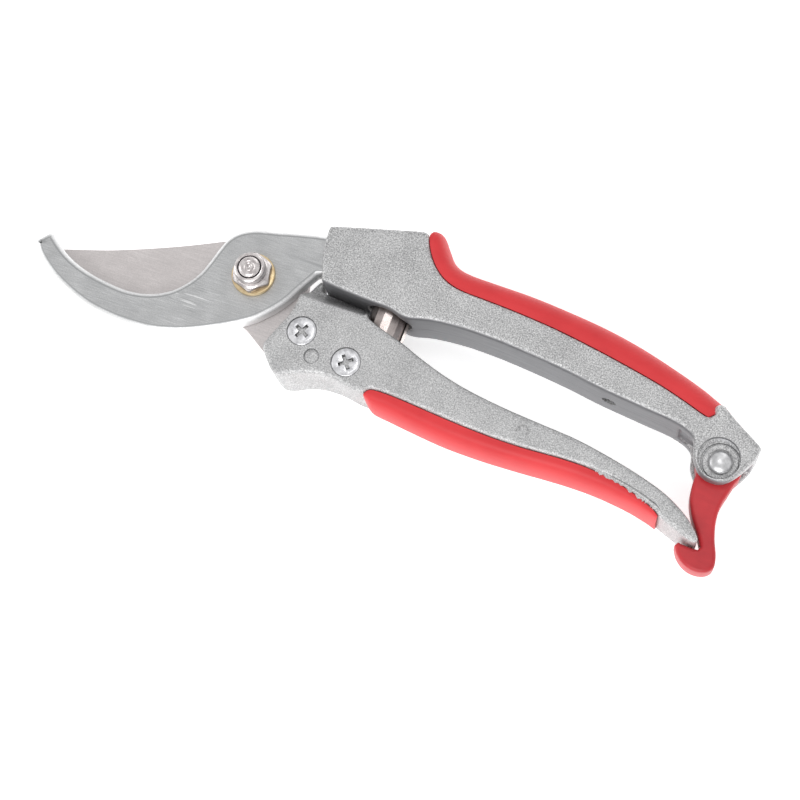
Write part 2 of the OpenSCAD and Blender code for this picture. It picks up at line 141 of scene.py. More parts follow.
def drawn_in(points: Outline, depth: float, share: Optional[Sequence[float]] = None) -> Outline:
    """Draws a counter-clockwise outline in by a depth.

    Args:
        points: the outline.
        depth: how far each point moves inwards.
        share: how much of the depth each point takes, all of it if left out.

    Returns:
        The outline drawn in, less at corners too tight for the whole depth.
    """
    n = len(points)
    result: Outline = []
    for i, b in enumerate(points):
        a, c = points[i - 1], points[(i + 1) % n]
        along = (c[0] - a[0], c[1] - a[1])
        length = math.hypot(*along)
        turn = (b[0] - a[0]) * (c[1] - a[1]) - (b[1] - a[1]) * (c[0] - a[0])
        room = math.inf
        if turn > 0:
            room = 0.3 * math.dist(a, b) * math.dist(b, c) * math.dist(a, c) / turn
        by = min(depth * (share[i] if share else 1), room)
        result.append((b[0] - along[1] / length * by, b[1] + along[0] / length * by))
    return result


def rounding(low: float, high: float, edge: float, steps: int = 4) -> list[Point]:
    """Gives the levels of a plate with both edges rounded.

    Args:
        low: the height of the plate's underside.
        high: the height of its top.
        edge: the radius of its edges.
        steps: the number of steps round each edge.

    Returns:
        A list of heights, each with how far the outline is drawn in there.
    """
    turns = [math.radians(90 * k / steps) for k in range(steps + 1)]
    lower = [(low + edge * (1 - math.sin(t)), edge * (1 - math.cos(t))) for t in reversed(turns)]
    upper = [(high - edge * (1 - math.sin(t)), edge * (1 - math.cos(t))) for t in turns]
    return lower + upper


# ---------------------------------------------------------------- meshes


class Piece:
    """One visible piece while it is being made."""

    def __init__(self, name: str, points: Sequence[Place], faces: Sequence[Sequence[int]]) -> None:
        """Makes the piece's mesh.

        Args:
            name: the piece's name.
            points: its points, in millimetres.
            faces: its faces, as places in the list of points.
        """
        mesh = bpy.data.meshes.new(name)
        mesh.from_pydata([tuple(c * MM for c in p) for p in points], [], [list(f) for f in faces])
        worked = bmesh.new()
        worked.from_mesh(mesh)
        bmesh.ops.remove_doubles(worked, verts=worked.verts, dist=0.002 * MM)
        bmesh.ops.recalc_face_normals(worked, faces=worked.faces)
        worked.to_mesh(mesh)
        worked.free()
        self.object = bpy.data.objects.new(name, mesh)
        bpy.context.scene.collection.objects.link(self.object)

    @classmethod
    def loft(cls, name: str, rings: Sequence[Sequence[Place]], closed: bool = False) -> "Piece":
        """Joins rings of points into one skin.

        Args:
            name: the piece's name.
            rings: the rings, all with as many points.
            closed: whether the last ring joins the first, as on a washer.

        Returns:
            The piece, with its two ends filled unless it is closed.
        """
        n = len(rings[0])
        points = [p for ring in rings for p in ring]
        faces: list[tuple[int, ...]] = []
        for j in range(len(rings) if closed else len(rings) - 1):
            low, high = j * n, (j + 1) % len(rings) * n
            faces += [(low + i, low + (i + 1) % n, high + (i + 1) % n, high + i) for i in range(n)]
        if not closed:
            for start, ring in ((0, rings[0]), (len(points) - n, rings[-1])):
                cap = tessellate_polygon([[Vector(p) for p in ring]])
                faces += [tuple(start + i for i in t) for t in cap]
        return cls(name, points, faces)

    @classmethod
    def plate(cls, name: str, outline: Outline, levels: Sequence[Point],
              share: Optional[Sequence[float]] = None) -> "Piece":
        """Makes a plate from its outline.

        Args:
            name: the piece's name.
            outline: the outline, counter-clockwise.
            levels: heights, each with how far the outline is drawn in there.
            share: how much of that each point takes.

        Returns:
            The plate.
        """
        rings = [[(x, y, z) for x, y in drawn_in(outline, depth, share)] for z, depth in levels]
        return cls.loft(name, rings)

    @classmethod
    def turned(cls, name: str, profile: Sequence[Point], at: Place, steps: int = 72,
               along_y: bool = False, ring: bool = False) -> "Piece":
        """Turns a profile about an axis.

        Args:
            name: the piece's name.
            profile: radius and height of each point.
            at: where the axis and height 0 are.
            steps: the number of points round.
            along_y: whether the axis runs along Y instead of Z.
            ring: whether the profile closes on itself.

        Returns:
            The turned piece.
        """
        rings: list[list[Place]] = []
        for radius, height in profile:
            ring_points = arc((0, 0), max(radius, 1e-4), 0, 360 * (steps - 1) / steps, steps - 1)
            if along_y:
                rings.append([(at[0] + a, at[1] + height, at[2] + b) for a, b in ring_points])
            else:
                rings.append([(at[0] + a, at[1] + b, at[2] + height) for a, b in ring_points])
        return cls.loft(name, rings, closed=ring)

    @classmethod
    def block(cls, name: str, low: Place, high: Place, turn: float = 0.0) -> "Piece":
        """Makes a plain block to cut with.

        Args:
            name: the piece's name.
            low: its lowest corner.
            high: its highest corner.
            turn: degrees that it is turned by about a vertical line through its middle.

        Returns:
            The block.
        """
        mid = ((low[0] + high[0]) / 2, (low[1] + high[1]) / 2)
        half = ((high[0] - low[0]) / 2, (high[1] - low[1]) / 2)
        cos, sin = math.cos(math.radians(turn)), math.sin(math.radians(turn))
        corners = [(mid[0] + x * half[0] * cos - y * half[1] * sin, mid[1] + x * half[0] * sin + y * half[1] * cos)
                   for x, y in ((-1, -1), (1, -1), (1, 1), (-1, 1))]
        return cls.plate(name, corners, [(low[2], 0), (high[2], 0)])

    @classmethod
    def wedge(cls, name: str, at: Place, top: Point, bottom: Point, depth: float, turn: float) -> "Piece":
        """Makes a block that tapers downwards, to cut a recess with.

        Args:
            name: the piece's name.
            at: the middle of its larger end.
            top: the length and width of that end.
            bottom: the length and width of the other end.
            depth: how far below the first the other end is, or above if negative.
            turn: degrees that it is turned by.

        Returns:
            The tapered block.
        """
        cos, sin = math.cos(math.radians(turn)), math.sin(math.radians(turn))
        rings: list[list[Place]] = []
        for (long, wide), z in ((bottom, at[2] - depth), (top, at[2]), (top, at[2] + math.copysign(1, depth))):
            corners = ((-long / 2, -wide / 2), (long / 2, -wide / 2), (long / 2, wide / 2), (-long / 2, wide / 2))
            rings.append([(at[0] + x * cos - y * sin, at[1] + x * sin + y * cos, z) for x, y in corners])
        return cls.loft(name, rings)

    def settle(self) -> "Piece":
        """Turns the modifiers into the mesh itself."""
        graph = bpy.context.evaluated_depsgraph_get()
        settled = bpy.data.meshes.new_from_object(self.object.evaluated_get(graph))
        self.object.modifiers.clear()
        self.object.data = settled
        return self

    def combine(self, operation: str, others: Sequence["Piece"]) -> "Piece":
        """Cuts the others from this piece, joins them to it, or keeps what they share.

        Args:
            operation: DIFFERENCE, UNION or INTERSECT.
            others: the other pieces, which are used up.

        Returns:
            This piece.
        """
        for other in others:
            modifier = self.object.modifiers.new(operation, "BOOLEAN")
            modifier.operation = operation
            modifier.object = other.object
            modifier.solver = "EXACT"
            self.settle()
            bpy.data.objects.remove(other.object)
        return self

    def cut(self, *others: "Piece") -> "Piece":
        """Cuts the others from this piece."""
        return self.combine("DIFFERENCE", others)

    def join(self, *others: "Piece") -> "Piece":
        """Joins the others to this piece."""
        return self.combine("UNION", others)

    def soften(self, grain: float, passes: int) -> "Piece":
        """Gives the piece the soft edges of a casting.

        Args:
            grain: the spacing of the new mesh.
            passes: how many times it is smoothed.

        Returns:
            This piece.
        """
        remesh = self.object.modifiers.new("remesh", "REMESH")
        remesh.mode = "VOXEL"
        remesh.voxel_size = grain * MM
        evened = self.object.modifiers.new("smooth", "SMOOTH")
        evened.factor = 0.5
        evened.iterations = passes
        return self.settle()

    def round_edges(self, width: float, segments: int = 2) -> "Piece":
        """Rounds the sharp edges.

        Args:
            width: the width of the rounding.
            segments: the number of steps across it.

        Returns:
            This piece.
        """
        bevel = self.object.modifiers.new("bevel", "BEVEL")
        bevel.width = width * MM
        bevel.segments = segments
        bevel.limit_method = "ANGLE"
        bevel.angle_limit = math.radians(40)
        return self.settle()

    def dress(self, finish: "Finish", sharp: float = 35.0) -> "Piece":
        """Gives the piece its finish and shades it smooth up to an angle.

        Args:
            finish: the finish.
            sharp: the angle in degrees from which an edge stays sharp.

        Returns:
            This piece.
        """
        mesh = self.object.data
        mesh.materials.clear()
        mesh.materials.append(finish.material())
        mesh.polygons.foreach_set("use_smooth", [True] * len(mesh.polygons))
        mesh.set_sharp_from_angle(angle=math.radians(sharp))
        return self

    def tint(self, finish: "Finish", chosen: Callable[[Vector, Vector], bool]) -> "Piece":
        """Gives some of the faces another finish.

        Args:
            finish: the other finish.
            chosen: whether a face gets it, from its middle in millimetres and its direction.

        Returns:
            This piece.
        """
        mesh = self.object.data
        mesh.materials.append(finish.material())
        for face in mesh.polygons:
            if chosen(face.center / MM, face.normal):
                face.material_index = len(mesh.materials) - 1
        return self

    def place(self, body: Body, *nodes: str) -> "Piece":
        """Makes the piece ride on a body in place of CAD nodes.

        Args:
            body: the body.
            nodes: the CAD nodes that the piece stands for.

        Returns:
            This piece.
        """
        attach(self.object, body.value)
        self.stand_for(*nodes)
        return self

    def stand_for(self, *nodes: str) -> None:
        """Hides the CAD nodes that the piece stands for, and reports it."""
        if nodes:
            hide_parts(*nodes)
        log.info("%s: %d faces, for %s", self.object.name, len(self.object.data.polygons), ", ".join(nodes) or "detail")


# ---------------------------------------------------------------- shader maths


class Field:
    """A number that changes over a surface, held as the output of a node."""

    def __init__(self, shade: "Shade", socket: bpy.types.NodeSocket) -> None:
        """Holds the socket.

        Args:
            shade: the material that it belongs to.
            socket: the node's output.
        """
        self.shade = shade
        self.socket = socket

    def math(self, operation: str, *values: Union["Field", float]) -> "Field":
        """Adds a Math node.

        Args:
            operation: its operation.
            values: its inputs in order.

        Returns:
            Its output.
        """
        inputs = dict(enumerate(values))
        return self.shade.field("ShaderNodeMath", {"operation": operation}, inputs)

    def __add__(self, other: Union["Field", float]) -> "Field":
        """Gives self + other."""
        return self.math("ADD", self, other)

    def __radd__(self, other: float) -> "Field":
        """Gives other + self."""
        return self.math("ADD", other, self)

    def __sub__(self, other: Union["Field", float]) -> "Field":
        """Gives self - other."""
        return self.math("SUBTRACT", self, other)

    def __rsub__(self, other: float) -> "Field":
        """Gives other - self."""
        return self.math("SUBTRACT", other, self)

    def __mul__(self, other: Union["Field", float]) -> "Field":
        """Gives self * other."""
        return self.math("MULTIPLY", self, other)

    def __rmul__(self, other: float) -> "Field":
        """Gives other * self."""
        return self.math("MULTIPLY", other, self)

    def __abs__(self) -> "Field":
        """Gives the size of self."""
        return self.math("ABSOLUTE", self)

    def between(self, low: float, high: float) -> "Field":
        """Gives 0 where self is below low, 1 above high, and a soft step between.

        Args:
            low: the start of the step.
            high: its end.

        Returns:
            The step.
        """
        inputs = {"Value": self, "From Min": low, "From Max": high}
        return self.shade.field("ShaderNodeMapRange", {"interpolation_type": "SMOOTHSTEP"}, inputs, "Result")


class Shade:
    """One material while its nodes are laid."""

    def __init__(self, name: str) -> None:
        """Makes the material with its surface shader.

        Args:
            name: the material's name.
        """
        self.material = bpy.data.materials.new(name)
        self.material.use_nodes = True
        self.tree = self.material.node_tree
        self.surface = self.tree.nodes["Principled BSDF"]

    def node(self, kind: str, settings: Optional[dict] = None, inputs: Optional[dict] = None) -> bpy.types.Node:
        """Adds a node.

        Args:
            kind: its type.
            settings: its own settings, which are set first.
            inputs: values or links for its sockets, by name or place.

        Returns:
            The node.
        """
        made = self.tree.nodes.new(kind)
        for key, value in (settings or {}).items():
            setattr(made, key, value)
        for key, value in (inputs or {}).items():
            self.feed(made.inputs[key], value)
        return made

    def feed(self, socket: bpy.types.NodeSocket, value: object) -> None:
        """Links a socket to a field or another socket, or sets its value.

        Args:
            socket: the input.
            value: what it gets.
        """
        if isinstance(value, Field):
            self.tree.links.new(value.socket, socket)
        elif isinstance(value, bpy.types.NodeSocket):
            self.tree.links.new(value, socket)
        else:
            socket.default_value = value

    def field(self, kind: str, settings: Optional[dict] = None, inputs: Optional[dict] = None,
              output: Union[str, int] = 0) -> Field:
        """Adds a node and gives one of its outputs.

        Args:
            kind: its type.
            settings: its own settings.
            inputs: values or links for its sockets.
            output: the output's name or place.

        Returns:
            That output.
        """
        return Field(self, self.node(kind, settings, inputs).outputs[output])

    def stretched(self, scale: Place, turn: float = 0.0) -> bpy.types.NodeSocket:
        """Gives the place on the object, stretched along its axes.

        Args:
            scale: the factor along each axis.
            turn: degrees that the place is turned by about Z first.

        Returns:
            The stretched place.
        """
        where = self.node("ShaderNodeTexCoord").outputs["Object"]
        inputs = {"Vector": where, "Rotation": (0, 0, math.radians(turn)), "Scale": scale}
        return self.node("ShaderNodeMapping", None, inputs).outputs["Vector"]

    def noise(self, size: float, detail: float = 2.0, stretch: Place = (1, 1, 1), turn: float = 0.0) -> Field:
        """Gives a cloudy noise.

        Args:
            size: the size of its clouds, in millimetres.
            detail: its finer layers.
            stretch: factors along the axes: less than 1 draws the clouds out.
            turn: degrees that it is turned by about Z.

        Returns:
            The noise, from 0 to 1.
        """
        inputs = {"Vector": self.stretched(stretch, turn), "Scale": 1 / (size * MM), "Detail": detail}
        return self.field("ShaderNodeTexNoise", None, inputs, "Fac")

    def grains(self, size: float) -> Field:
        """Gives a value that changes from grain to grain.

        Args:
            size: the size of a grain, in millimetres.

        Returns:
            The value, from 0 to 1.
        """
        inputs = {"Vector": self.stretched((1, 1, 1)), "Scale": 1 / (size * MM)}
        cells = self.node("ShaderNodeTexVoronoi", None, inputs)
        return self.field("ShaderNodeSeparateColor", None, {0: cells.outputs["Color"]}, "Red")

    def facing(self, axis: str) -> Field:
        """Gives how far the surface faces along an axis.

        Args:
            axis: X, Y or Z.

        Returns:
            1 where it faces straight along the axis, -1 where it faces the other way.
        """
        normal = self.node("ShaderNodeTexCoord").outputs["Normal"]
        return self.field("ShaderNodeSeparateXYZ", None, {0: normal}, axis)

    def height(self) -> Field:
        """Gives the height above the rest plane, in millimetres."""
        where = self.node("ShaderNodeTexCoord").outputs["Object"]
        return self.field("ShaderNodeSeparateXYZ", None, {0: where}, "Z") * (1 / MM)

    def mixed(self, amount: Union[Field, float], first: object, second: object) -> bpy.types.NodeSocket:
        """Mixes two colours.

        Args:
            amount: how much of the second there is.
            first: a colour or a colour output.
            second: a colour or a colour output.

        Returns:
            The mixed colour.
        """
        made = self.node("ShaderNodeMix", {"data_type": "RGBA"})
        self.feed(made.inputs[0], amount)
        for socket, colour in ((made.inputs[6], first), (made.inputs[7], second)):
            self.feed(socket, (*colour, 1) if isinstance(colour, tuple) else colour)
        return made.outputs[2]

    def bumped(self, height: Field, depth: float) -> None:
        """Gives the surface relief.

        Args:
            height: the relief, from 0 to 1.
            depth: how deep it is, in millimetres.
        """
        bump = self.node("ShaderNodeBump", None, {"Height": height, "Distance": depth * MM, "Strength": 1.0})
        self.feed(self.surface.inputs["Normal"], bump.outputs["Normal"])


# ---------------------------------------------------------------- finishes


@dataclass(frozen=True)
class Finish:
    """A surface finish, and the record's slot that it belongs to."""

    name: str
    slot: str
    metallic: float = 0.0
    coat: float = 0.0

    def paint(self, shade: Shade) -> None:
        """Lays the finish's own nodes.

        Args:
            shade: the material.
        """
        raise NotImplementedError

    def material(self) -> bpy.types.Material:
        """Gives the finish's material, made the first time it is asked for."""
        name = f"{self.name}_finish"
        made = bpy.data.materials.get(name)
        if made is None:
            shade = Shade(name)
            shade.surface.inputs["Metallic"].default_value = self.metallic
            shade.surface.inputs["Coat Weight"].default_value = self.coat
            self.paint(shade)
            made = shade.material
        return made


@dataclass(frozen=True)
class CastAlloy(Finish):
    """Tumbled die-cast aluminium: speckled all over, and on a brushed inner wall drawn smoother and darker, the
    darkness being painted shade.
    """

    dark: Colour = (0.25, 0.25, 0.255)
    light: Colour = (0.82, 0.82, 0.82)
    # The colour of the inner wall, kept dark as painted shade.
    wall: Colour = (0.20, 0.20, 0.215)
    grain: float = 0.34
    contrast: float = 1.15
    brushed: bool = False
    parting_height: float = 9.0

    def paint(self, shade: Shade) -> None:
        """Lays the speckle, the wall's parting line and the relief."""
        speckle = shade.noise(self.grain, 1.5)
        fine = shade.grains(0.30)
        cloud = shade.noise(9.0, 3.0)
        stain = shade.noise(2.0, 4.0).between(0.68, 0.80)
        amount = speckle * self.contrast + fine * 0.16 + cloud * 0.30 - stain * 0.22 + 0.22 - self.contrast * 0.5
        flat = shade.mixed(amount.between(0.0, 1.0), self.dark, self.light)
        rough = 0.38 + speckle * 0.20 + cloud * 0.06
        relief = speckle + fine * 0.2
        # On the brushed inner wall: drag lines, a parting line, and painted shade that makes the wall darker than the
        # faces.
        if self.brushed:
            shaded_wall_share = (0 - shade.facing("Y")).between(0.45, 0.80)
            drag = shade.noise(1.1, 3.0, (0.12, 0.12, 1.6))
            line = 1 - abs(shade.height() - self.parting_height).between(0.04, 0.18)
            wall = shade.mixed(drag * 0.8 + speckle * 0.15 - line * 0.35, self.wall, (0.42, 0.42, 0.43))
            flat = shade.mixed(shaded_wall_share, flat, wall)
            relief = relief * (1 - 0.8 * shaded_wall_share) + shaded_wall_share * (drag * 0.25 - line * 1.2)
        shade.feed(shade.surface.inputs["Base Color"], flat)
        shade.feed(shade.surface.inputs["Roughness"], rough)
        shade.bumped(relief, 0.05)


@dataclass(frozen=True)
class GroundSteel(Finish):
    """Steel ground flat, with fine scratches along one direction, brighter rubbed places, a painted highlight on its
    sloping chamfers and a painted shade line where they meet the flat.
    """

    dark: Colour = (0.38, 0.385, 0.39)
    light: Colour = (0.84, 0.842, 0.845)
    turn: float = -8.0
    rough: float = 0.42
    rubbed_at: Place = (-16.0, -8.0, 10.0)

    def paint(self, shade: Shade) -> None:
        """Lays the grinding lines, the grain and the deeper scratches where it is rubbed."""
        lines = shade.noise(0.35, 4.0, (0.07, 1.0, 1.0), self.turn)
        grain = shade.noise(0.30, 2.0)
        cloud = shade.noise(6.0, 3.0)
        where = shade.node("ShaderNodeTexCoord").outputs["Object"]
        spot = tuple(c * MM for c in self.rubbed_at)
        away = shade.field("ShaderNodeVectorMath", {"operation": "DISTANCE"}, {0: where, 1: spot}, "Value")
        rubbed = 1 - (away * (1 / MM)).between(4.0, 14.0)
        scratch = shade.noise(0.5, 3.0, (0.05, 1.0, 1.0), self.turn + 6).between(0.60, 0.68) * rubbed
        level = abs(shade.facing("Z"))
        # Painted highlight: faces that slope away from flat, such as the chamfers, are made lighter.
        slope = 1 - level.between(0.80, 0.96)
        # Painted shade: a dark line where a chamfer turns into the flat face.
        crease_shade = level.between(0.90, 0.97) * (1 - level.between(0.985, 0.999))
        dark_line = shade.noise(0.45, 3.0, (0.06, 1.0, 1.0), self.turn - 4).between(0.60, 0.70) * rubbed
        amount = (lines * 0.50 + grain * 0.60 + cloud * 0.30 + scratch * 0.40 - dark_line * 0.50 - 0.37
                  + slope * 0.50 - crease_shade * 0.60)
        shade.feed(shade.surface.inputs["Base Color"], shade.mixed(amount.between(0.0, 1.0), self.dark, self.light))
        shade.feed(shade.surface.inputs["Roughness"], self.rough + grain * 0.12 - scratch * 0.10)
        shade.bumped(lines * 0.7 + grain * 0.4 + scratch * 0.8 - dark_line * 0.8, 0.014)


@dataclass(frozen=True)
class Plated(Finish):
    """A bright plated or turned metal, with a faint tint that drifts over it."""

    dark: Colour = (0.50, 0.50, 0.52)
    light: Colour = (0.80, 0.80, 0.82)
    rough: float = 0.20
    patch: float = 2.0

    def paint(self, shade: Shade) -> None:
        """Lays the drifting tint and a fine grain."""
        cloud = shade.noise(self.patch, 4.0)
        grain = shade.noise(0.12, 2.0)
        shade.feed(shade.surface.inputs["Base Color"], shade.mixed(cloud.between(0.3, 0.7), self.dark, self.light))
        shade.feed(shade.surface.inputs["Roughness"], self.rough + grain * 0.10 + cloud * 0.08)
        shade.bumped(grain, 0.006)


@dataclass(frozen=True)
class Moulded(Finish):
    """Moulded plastic with a fine matt grain, paler where it is handled."""

    deep: Colour = (0.55, 0.014, 0.020)
    worn: Colour = (0.75, 0.036, 0.042)
    rough: float = 0.40

    def paint(self, shade: Shade) -> None:
        """Lays the shift of colour, the grain and a few scuffs."""
        cloud = shade.noise(14.0, 3.0)
        grain = shade.noise(0.16, 2.0)
        flow = shade.noise(1.6, 3.0, (0.3, 1.0, 1.0), -20)
        scuff = shade.noise(0.8, 4.0).between(0.70, 0.80)
        amount = cloud * 0.7 + flow * 0.3 + scuff * 0.2 + grain * 0.15 - 0.08
        shade.feed(shade.surface.inputs["Base Color"], shade.mixed(amount.between(0.0, 1.0), self.deep, self.worn))
        shade.feed(shade.surface.inputs["Roughness"], self.rough + grain * 0.12 + scuff * 0.10)
        shade.bumped(grain * 0.6 + flow * 0.4, 0.010)


CAST = CastAlloy("cast_aluminium", "cast_aluminium", metallic=0.75)
# The upper casting: its brushed inner wall carries painted shade.
BRUSHED_SHADED_CAST = CastAlloy("brushed_shaded_aluminium", "cast_aluminium", metallic=0.75, contrast=1.5, brushed=True)
RIVET = Plated("rivet_aluminium", "rivet_aluminium", metallic=0.9, dark=(0.52, 0.52, 0.53),
               light=(0.84, 0.84, 0.85), rough=0.26)
HOOK_STEEL = GroundSteel("ground_steel", "blade_steel", metallic=0.85)
BLADE_STEEL = GroundSteel("satin_steel", "blade_steel", metallic=0.75, dark=(0.52, 0.49, 0.485),
                          light=(0.84, 0.79, 0.785), rough=0.44, turn=20.0, rubbed_at=(-60.0, 0.0, 8.0))
ZINC = Plated("zinc_plate", "zinc_steel", metallic=0.95, light=(0.88, 0.88, 0.90))
# Painted shade: a near-black zinc for the screws' recesses and the sunk grip screw.
RECESS_SHADE_ZINC = Plated("recess_shade_zinc", "zinc_steel", metallic=0.4, dark=(0.015, 0.015, 0.015), light=(0.16, 0.16, 0.16),
                    rough=0.45, patch=0.8)
NUT_ZINC = Plated("nut_plate", "zinc_steel", metallic=1.0, dark=(0.50, 0.46, 0.46), light=(0.86, 0.82, 0.81),
                  rough=0.16)
# Painted shade: a darker copy of the nut's plating, for the hexagon's upright flats.
SHADED_FLAT_ZINC = Plated("shaded_flat_zinc", "zinc_steel", metallic=0.95, dark=(0.16, 0.14, 0.14), light=(0.52, 0.47, 0.45),
                   rough=0.24, patch=1.6)
YELLOW_ZINC = Plated("yellow_zinc", "yellow_zinc", metallic=0.9, dark=(0.62, 0.45, 0.24),
                     light=(0.82, 0.68, 0.44), rough=0.25)
SPRING_STEEL = Plated("spring_steel", "spring_steel", metallic=1.0, dark=(0.40, 0.345, 0.33),
                      light=(0.66, 0.60, 0.58), rough=0.20, patch=5.0)
NYLON = Moulded("nut_nylon", "nut_nylon", deep=(0.018, 0.020, 0.026), worn=(0.035, 0.038, 0.048), rough=0.5)
GRIP_RED = Moulded("red_grip", "red_grip")
CATCH_RED = Moulded("red_catch", "red_catch", deep=(0.34, 0.010, 0.018), worn=(0.66, 0.034, 0.042), rough=0.36)


# ---------------------------------------------------------------- fasteners


def heights(node: str) -> Point:
    """Gives the lowest and highest level of a CAD node, in millimetres."""
    low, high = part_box(node)
    return low[2] / MM, high[2] / MM


@dataclass
class CrossScrew:
    """A countersunk screw with a cross recess and the faint slot across its head."""

    head_r: float = 3.92
    rim: float = 0.45
    cone: float = 1.75
    shank_r: float = 2.5
    recess: Point = (4.3, 0.95)

    def build(self, name: str, at: Point, face: float, depth: float, side: Side, turn: float) -> Piece:
        """Makes one screw.

        Args:
            name: its name.
            at: where it stands.
            face: the level of its head's top.
            depth: its length.
            side: the side that its head is on.
            turn: degrees that its recess is turned by.

        Returns:
            The screw.
        """
        way = side.value
        profile = [(0, 0.0), (self.head_r - 1.0, -0.02), (self.head_r - 0.25, -0.08), (self.head_r, -0.25),
                   (self.head_r, -self.rim), (self.shank_r, -self.rim - self.cone), (self.shank_r, -depth),
                   (0, -depth)]
        screw = Piece.turned(name, [(r, way * h) for r, h in profile], (*at, face))
        long, wide = self.recess
        for quarter in (0, 90):
            screw.cut(Piece.wedge("recess", (*at, face), (long, wide), (long * 0.4, wide * 0.5), way * 1.7,
                                  turn + quarter))
        screw.cut(Piece.wedge("pit", (*at, face), (1.9, 1.9), (0.5, 0.5), way * 1.9, turn + 45))
        reach, thin = self.head_r + 0.2, 0.14
        low, high = sorted((face + way * 1.0, face - way * 0.14))
        out = math.radians(turn - 90)
        mid = (at[0] + math.cos(out) * reach / 2, at[1] + math.sin(out) * reach / 2)
        screw.cut(Piece.block("slot", (mid[0] - reach / 2, mid[1] - thin, low),
                              (mid[0] + reach / 2, mid[1] + thin, high), turn + 90))
        return screw.round_edges(0.07)

    def dressed(self, screw: Piece, at: Point, face: float, side: Side) -> Piece:
        """Gives a screw its plating, with painted shade darkening its recess.

        Args:
            screw: the screw.
            at: where it stands.
            face: the level of its head's top.
            side: the side that its head is on.

        Returns:
            The screw.
        """
        way = side.value

        def sunk(middle: Vector, _: Vector) -> bool:
            """Tells whether a face is inside the recess, which gets the painted shade."""
            near = math.dist((middle.x, middle.y), at) < self.recess[0] / 2
            return near and 0.22 < way * (face - middle.z) < 2.2

        return screw.dress(ZINC).tint(RECESS_SHADE_ZINC, sunk)


def gap_round(name: str, at: Point, radius: float, low: float, high: float) -> Piece:
    """Makes an upright round cutter.

    Args:
        name: its name.
        at: where it stands.
        radius: its radius.
        low: its lower end.
        high: its upper end.

    Returns:
        The cutter.
    """
    return Piece.turned(name, [(0, low), (radius, low), (radius, high), (0, high)], (*at, 0), 64)


# ---------------------------------------------------------------- handles


@dataclass
class Grip:
    """A moulded grip that runs along a handle, from its seam to its outermost line."""

    name: str
    node: str
    body: Body
    seam: Outline
    outer: Outline
    middle: float
    step: float = 0.7
    front_round: float = 2.2
    rear_round: float = 0.9
    finish: Finish = GRIP_RED

    def section(self, i: int, size: float) -> list[Place]:
        """Gives the grip's section at one place.

        Args:
            i: the place along the seam.
            size: its size as a share of the full section.

        Returns:
            The points round the section.
        """
        seam, outer = self.seam[i], self.outer[i]
        width = math.dist(seam, outer) - 0.1
        out = ((outer[0] - seam[0]) / (width + 0.1), (outer[1] - seam[1]) / (width + 0.1))
        high = (self.middle - self.step) * (0.75 + 0.25 * size)
        points: list[Place] = []
        for k in range(29):
            a = math.radians(-90 + 180 * k / 28)
            reach = 0.1 + width * math.cos(a) ** 0.7 * size if abs(math.cos(a)) > 1e-6 else 0.1
            up = math.copysign(abs(math.sin(a)) ** 0.85, a)
            points.append((seam[0] + out[0] * reach, seam[1] + out[1] * reach, self.middle + high * up))
        return points

    def build(self) -> Piece:
        """Makes the grip."""
        run = [0.0]
        for a, b in zip(self.seam, self.seam[1:]):
            run.append(run[-1] + math.dist(a, b))
        sections = []
        for i, gone in enumerate(run):
            front = min(gone / self.front_round, 1.0)
            rear = min((run[-1] - gone) / self.rear_round, 1.0)
            size = (0.62 + 0.38 * math.sqrt(1 - (1 - front) ** 2)) * (0.88 + 0.12 * math.sqrt(1 - (1 - rear) ** 2))
            sections.append(self.section(i, size))
        grip = Piece.loft(self.name, sections)
        return grip.dress(self.finish, 50).place(self.body, self.node)


